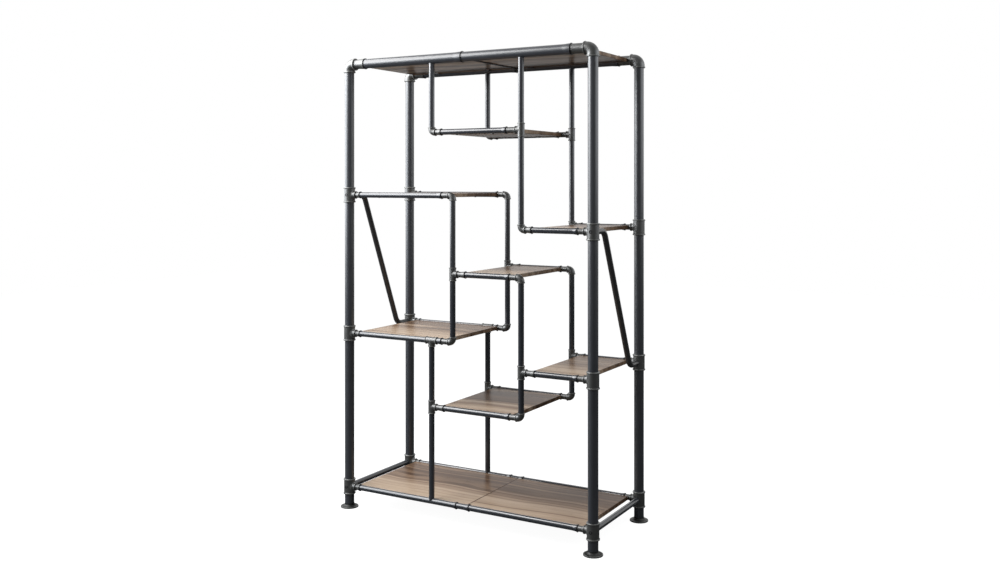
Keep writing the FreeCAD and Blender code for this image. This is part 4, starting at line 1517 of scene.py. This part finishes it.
@dataclass
class Boards:
    """Oak boards on the rails, each with its own tone shift, mostly painted shade: the low boards darker,
    where less light reaches.
    """

    layout: Layout
    ease: float = 1.2 * MM
    # Painted shade: the low boards are darker and the right lower board lighter, for how the light falls on
    # each level.
    tone_and_shade_by_board: tuple[tuple[str, float], ...] = (
        ("hanging_board", -0.115), ("left_upper_board", -0.115), ("right_upper_board", -0.115),
        ("centre_board", -0.115), ("left_lower_board", -0.115), ("right_lower_board", -0.095),
        ("low_centre_board", -0.155), ("top_left_board", -0.115), ("top_right_board", -0.115),
        ("bottom_left_board", -0.135), ("bottom_right_board", -0.15),
    )
    # Painted shade in part: the board ends go dark for the shadow in the seams between boards, as well as
    # for the darker end grain.
    rim_tone: float = -0.5
    rim_width: float = 1.3 * MM
    notched: str = "left_lower_board"
    notch_half: float = 26.4 * MM
    notch_depth: float = 2.35 * MM
    figure_step: Triple = (5.1, 0.0, 0.9)

    def lay_grain(self, piece: bpy.types.Object, middle: Array, order: int, tone: float) -> None:
        """Stores each point's place on its own board, moved on by a step for each board, and its tone with
        painted shade.

        The rounded edges at both ends are darker: partly the darker end grain of cut edges, partly painted
        shade in the seams between butted boards.

        Args:
            piece: The board.
            middle: The middle of its box.
            order: Its place in the list, so that no two boards show the same figure.
            tone: How much lighter or darker the board is, mostly painted shade for the dimmer light on the
                low boards.
        """
        mesh = piece.data
        points = np.empty(len(mesh.vertices) * 3, np.float32)
        mesh.vertices.foreach_get("co", points)
        local = points.reshape(-1, 3) - middle + order * np.array(self.figure_step)
        grain = mesh.attributes.new(GRAIN_NAME, "FLOAT_VECTOR", "POINT")
        grain.data.foreach_set("vector", local.astype(np.float32).ravel())
        along = points[0::3]
        from_end = np.minimum(along - along.min(), along.max() - along)
        # Painted shade in part: points at the rounded ends take the dark rim tone, for end grain and the
        # shadow in the seams.
        rim = (from_end > 0.0) & (from_end < self.rim_width)
        shade = mesh.attributes.new(TONE_AND_SHADE_NAME, "FLOAT", "POINT")
        shade.data.foreach_set("value", np.where(rim, self.rim_tone, tone).astype(np.float32))

    def build(self) -> None:
        """Adds the boards, with a notch round the tee in the left lower one."""
        hanger = self.layout.hanger
        notch = (hanger - self.notch_half, hanger + self.notch_half, self.notch_depth)
        for order, (node, tone) in enumerate(self.tone_and_shade_by_board):
            low, high = (np.array(corner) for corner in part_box(node))
            skin = plank(low, high, self.ease, notch if node == self.notched else None)
            piece = dress(node, [skin], OAK, Slot.BOARD)
            self.lay_grain(piece, (low + high) / 2.0, order, tone)


@dataclass
class SeamBar:
    """Flat steel bar between the top rails, under the ends of the two top boards: a guessed support whose
    near black is painted shade for the dark seam.
    """

    layout: Layout
    width: float = 12.0 * MM
    thickness: float = 3.0 * MM
    ease: float = 0.5 * MM

    def build(self) -> None:
        """Adds the bar under the boards' seam, from rail to rail."""
        left_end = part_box("top_left_board")[1]
        right_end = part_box("top_right_board")[0]
        seam = (left_end.x + right_end.x) / 2.0
        drop = self.layout.level["top"] - right_end.z + self.thickness
        half_span = self.layout.back - math.sqrt(self.layout.post_radius**2 - drop**2)
        low = np.array((seam - self.width / 2.0, -half_span, right_end.z - self.thickness))
        high = np.array((seam + self.width / 2.0, half_span, right_end.z))
        # Painted shade: the bar's near black stands for the shadow in the seam between the top boards.
        add_piece("top_seam_shade_bar", [plank(low, high, self.ease)], BLACK_STEEL, Slot.TAB)


@dataclass
class Welds:
    """Weld fillets where a coped tube meets the side of a rail."""

    layout: Layout
    size: float = 2.6 * MM
    ripple: float = 0.35 * MM
    ripples: int = 22
    root: float = 1.0 * MM
    overlap: float = 0.5 * MM
    top_narrow: float = 0.8
    bottom_narrow: float = 0.15

    def fillet(self, spot: Array, axis: Array, rail_radius: float, narrow: float) -> Array:
        """A saddle-shaped fillet round a tube, moved out by w cos(n v) times a half wave from edge to edge.

        Args:
            spot: The point where the tube's axis meets the rail's.
            axis: Unit vector of the tube, away from the rail.
            rail_radius: Radius of the rail.
            narrow: Share of the fillet that is left at the tube's sides.

        Returns:
            Rings of the fillet, closed inside the rail and the tube.
        """
        tube = self.layout.tube_radius
        rings = saddled(spot, axis, X_AXIS, rail_radius, tube, self.size, narrow)
        inside = saddled(spot, axis, X_AXIS, rail_radius - self.root, tube - self.root, 0.0, narrow, 2)
        away = rings - (spot + ((rings - spot) @ axis)[..., None] * axis)
        around = self.ripple * np.cos(self.ripples * TURN)[:, None]
        across = np.sin(np.linspace(0.0, np.pi, len(rings)))[:, None, None]
        rippled = rings + away / np.linalg.norm(away, axis=2, keepdims=True) * (around * across)
        return np.concatenate((inside[:1], rippled, inside[-1:] + (self.size - self.overlap) * axis))

    def build(self) -> None:
        """Adds the welds under the top rails and on the bottom rails."""
        at = self.layout
        skins = []
        for y in at.rows:
            for x in (at.hanger, at.inner):
                top = np.array((x, y, at.level["top"]))
                skins.append(self.fillet(top, -Z_AXIS, at.post_radius, self.top_narrow))
            bottom = np.array((at.hanger, y, at.level["bottom"]))
            skins.append(self.fillet(bottom, Z_AXIS, at.tube_radius, self.bottom_narrow))
        add_piece("weld_fillets", skins, TUBE_PAINT, Slot.TUBE)


@dataclass
class Screws:
    """Pan-head wood screws that hold the boards to their tabs."""

    head_radius: float = 3.9 * MM
    head_height: float = 2.1 * MM
    dome_rows: int = 5
    crown_share: float = 1.15
    sunk: float = 0.5 * MM
    recess: float = 1.9 * MM
    recess_depth: float = 1.2 * MM
    recess_floor: float = 0.55
    lobe: float = 0.55
    from_edge: float = 8.0 * MM
    apart: float = 30.0 * MM

    def tabs(self) -> list[tuple[Array, Array]]:
        """Tells the frame's tabs apart by level, side and place along X.

        Returns:
            Lowest and highest corner of each tab.
        """
        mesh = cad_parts["shelf_tabs"].data
        points = np.empty(len(mesh.vertices) * 3)
        mesh.vertices.foreach_get("co", points)
        points = points.reshape(-1, 3)
        level = np.round(points[:, 2] / self.apart)
        keys = np.stack((points[:, 0] / self.apart, np.sign(points[:, 1]), level), axis=1)
        order = np.lexsort(keys.T)
        step = np.abs(np.diff(keys[order], axis=0))
        cuts = np.flatnonzero((step > (1.0, 0.0, 1.0)).any(axis=1)) + 1
        return [(group.min(axis=0), group.max(axis=0)) for group in np.split(points[order], cuts)]

    def head(self, spot: Array) -> Array:
        """A domed head below a tab, with a four-lobed recess: r (1 - l + l |cos 2v|^3).

        Args:
            spot: The head's middle on the tab's lower face.

        Returns:
            Rings from inside the tab over the dome to the floor of the recess.
        """
        dome = quarter_turn(self.dome_rows)
        crown = self.recess * self.crown_share
        along = np.concatenate(((-self.sunk,), self.head_height * np.sin(dome), (self.head_height,)))
        domed = crown + (self.head_radius - crown) * np.cos(dome)
        skin = turned(spot, -Z_AXIS, along, np.concatenate(((self.head_radius,), domed, (crown,))))
        lobes = self.recess * (1.0 - self.lobe + self.lobe * np.abs(np.cos(2.0 * TURN)) ** 3)
        down = np.array((self.head_height, self.head_height - self.recess_depth))
        star = turned(spot, -Z_AXIS, down, np.stack((lobes, lobes * self.recess_floor)))
        return np.concatenate((skin, star))

    def build(self) -> None:
        """Adds a screw under the free end of each tab."""
        skins = []
        for low, high in self.tabs():
            y = high[1] - self.from_edge if low[1] < 0.0 else low[1] + self.from_edge
            skins.append(self.head(np.array(((low[0] + high[0]) / 2.0, y, low[2]))))
        add_piece("tab_screws", skins, BLACK_STEEL, Slot.BOLT)


def dress_fasteners() -> None:
    """Gives the frame's own bolts, plugs and tabs their finishes."""
    finishes = {"cross_bolts": BLACK_STEEL, "end_plugs": BLACK_STEEL, "shelf_tabs": TUBE_PAINT}
    for node, finish in finishes.items():
        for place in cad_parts[node].material_slots:
            place.material = finish.material()


# Studio

@dataclass(frozen=True)
class Lamp:
    """A rectangular soft lamp at a place, aimed at a point."""

    name: str
    place: Triple
    aim: Triple
    size: tuple[float, float]
    watts: float
    colour: Triple = (1.0, 1.0, 1.0)

    def build(self) -> None:
        """Adds the lamp."""
        data = bpy.data.lights.new(self.name, "AREA")
        data.shape = "RECTANGLE"
        data.size, data.size_y = self.size
        data.energy = self.watts
        data.color = self.colour
        lamp = add_object(self.name, data)
        lamp.location = self.place
        direction = np.array(self.aim) - np.array(self.place)
        yaw = math.atan2(direction[1], direction[0]) - math.pi / 2.0
        tilt = math.acos(-direction[2] / np.linalg.norm(direction))
        lamp.rotation_euler = (tilt, 0.0, yaw)


@dataclass
class Studio:
    """Pale floor, white surroundings, soft lamps and the camera of the photograph."""

    camera_place: Triple = (2.07694, -3.52798, 1.32572)
    camera_turn: float = math.radians(29.99)
    lens: float = 36.7457
    sensor: float = 36.0
    shift_y: float = -0.11029
    floor_half: float = 9.0
    far_side: Triple = (-0.6, 0.75, 0.28)
    far_start: float = 0.35
    far_gain: float = 1.2
    near_level: float = 0.31
    light_level: float = 0.3
    lamps: tuple[Lamp, ...] = (
        Lamp("key", (-1.35, -1.0, 2.5), (-0.1, -0.1, 1.1), (2.3, 1.4), 90.0),
        Lamp("left_panel", (-2.9, -1.35, 1.95), (0.0, 0.0, 1.5), (4.0, 2.0), 160.0, COOL_WHITE),
        Lamp("right_panel", (2.4, 0.6, 2.1), (0.5, 0.0, 1.75), (2.8, 1.6), 28.0, COOL_WHITE),
    )

    def surroundings(self) -> None:
        """White surroundings that light the unit softly, and are dimmer in reflections of the near side."""
        world = bpy.data.worlds.new("studio")
        world.use_nodes = True
        shader = Shader(world.node_tree)
        camera = shader.ray(Ray.CAMERA)
        seen = camera.at_least(shader.ray(Ray.GLOSSY)).at_least(shader.ray(Ray.CLEAR))
        way = shader.node("ShaderNodeTexCoord", output="Generated")
        sides = {0: way, 1: self.far_side}
        facing = shader.node("ShaderNodeVectorMath", {"operation": "DOT_PRODUCT"}, sides, output="Value")
        share = ((facing + self.far_start) * self.far_gain).at_least(camera).at_most(1.0)
        shown = shader.fade(share, shader.backdrop(self.near_level), shader.backdrop(1.0))
        mixed = shader.fade(seen, shader.backdrop(self.light_level), shown)
        shader.node("ShaderNodeOutputWorld", None, {"Surface": mixed})
        bpy.context.scene.world = world

    def floor(self) -> None:
        """A pale floor that keeps a soft shadow."""
        half = self.floor_half
        corners = [(-half, -half, 0.0), (half, -half, 0.0), (half, half, 0.0), (-half, half, 0.0)]
        mesh = bpy.data.meshes.new("floor")
        mesh.from_pydata(corners, [], [(0, 1, 2, 3)])
        mesh.materials.append(PALE_FLOOR.material())
        plane = add_object("floor", mesh)

    def camera(self) -> None:
        """A level camera with the photograph's place, lens and shift."""
        data = bpy.data.cameras.new("camera")
        data.sensor_width = self.sensor
        data.lens = self.lens
        data.shift_y = self.shift_y
        camera = add_object("camera", data)
        camera.location = self.camera_place
        camera.rotation_euler = (math.pi / 2.0, 0.0, self.camera_turn)
        bpy.context.scene.camera = camera

    def build(self) -> None:
        """Sets the stage."""
        bpy.context.scene.view_settings.view_transform = "Standard"
        self.surroundings()
        self.floor()
        for lamp in self.lamps:
            lamp.build()
        self.camera()


def main() -> None:
    """Builds the unit and its stage, and reports each piece."""
    logging.basicConfig(level=logging.INFO, format="%(name)s %(message)s")
    layout = Layout.from_frame()
    rails = Rails(layout)
    Tubes(layout).build()
    Flanges(layout).build()
    rails.build()
    PostCastings(layout, rails).build()
    ShelfCastings(layout, rails).build()
    # Painted shade: the lips are near black to stand for the shaded end step of each bell.
    add_piece("bell_lips_painted_shade", rails.lips, BLACK_STEEL, Slot.TUBE)
    Braces(layout).build()
    Bolts(layout).build()
    Boards(layout).build()
    SeamBar(layout).build()
    Welds(layout).build()
    Screws().build()
    dress_fasteners()
    Studio().build()


if __name__ == "__main__":
    main()
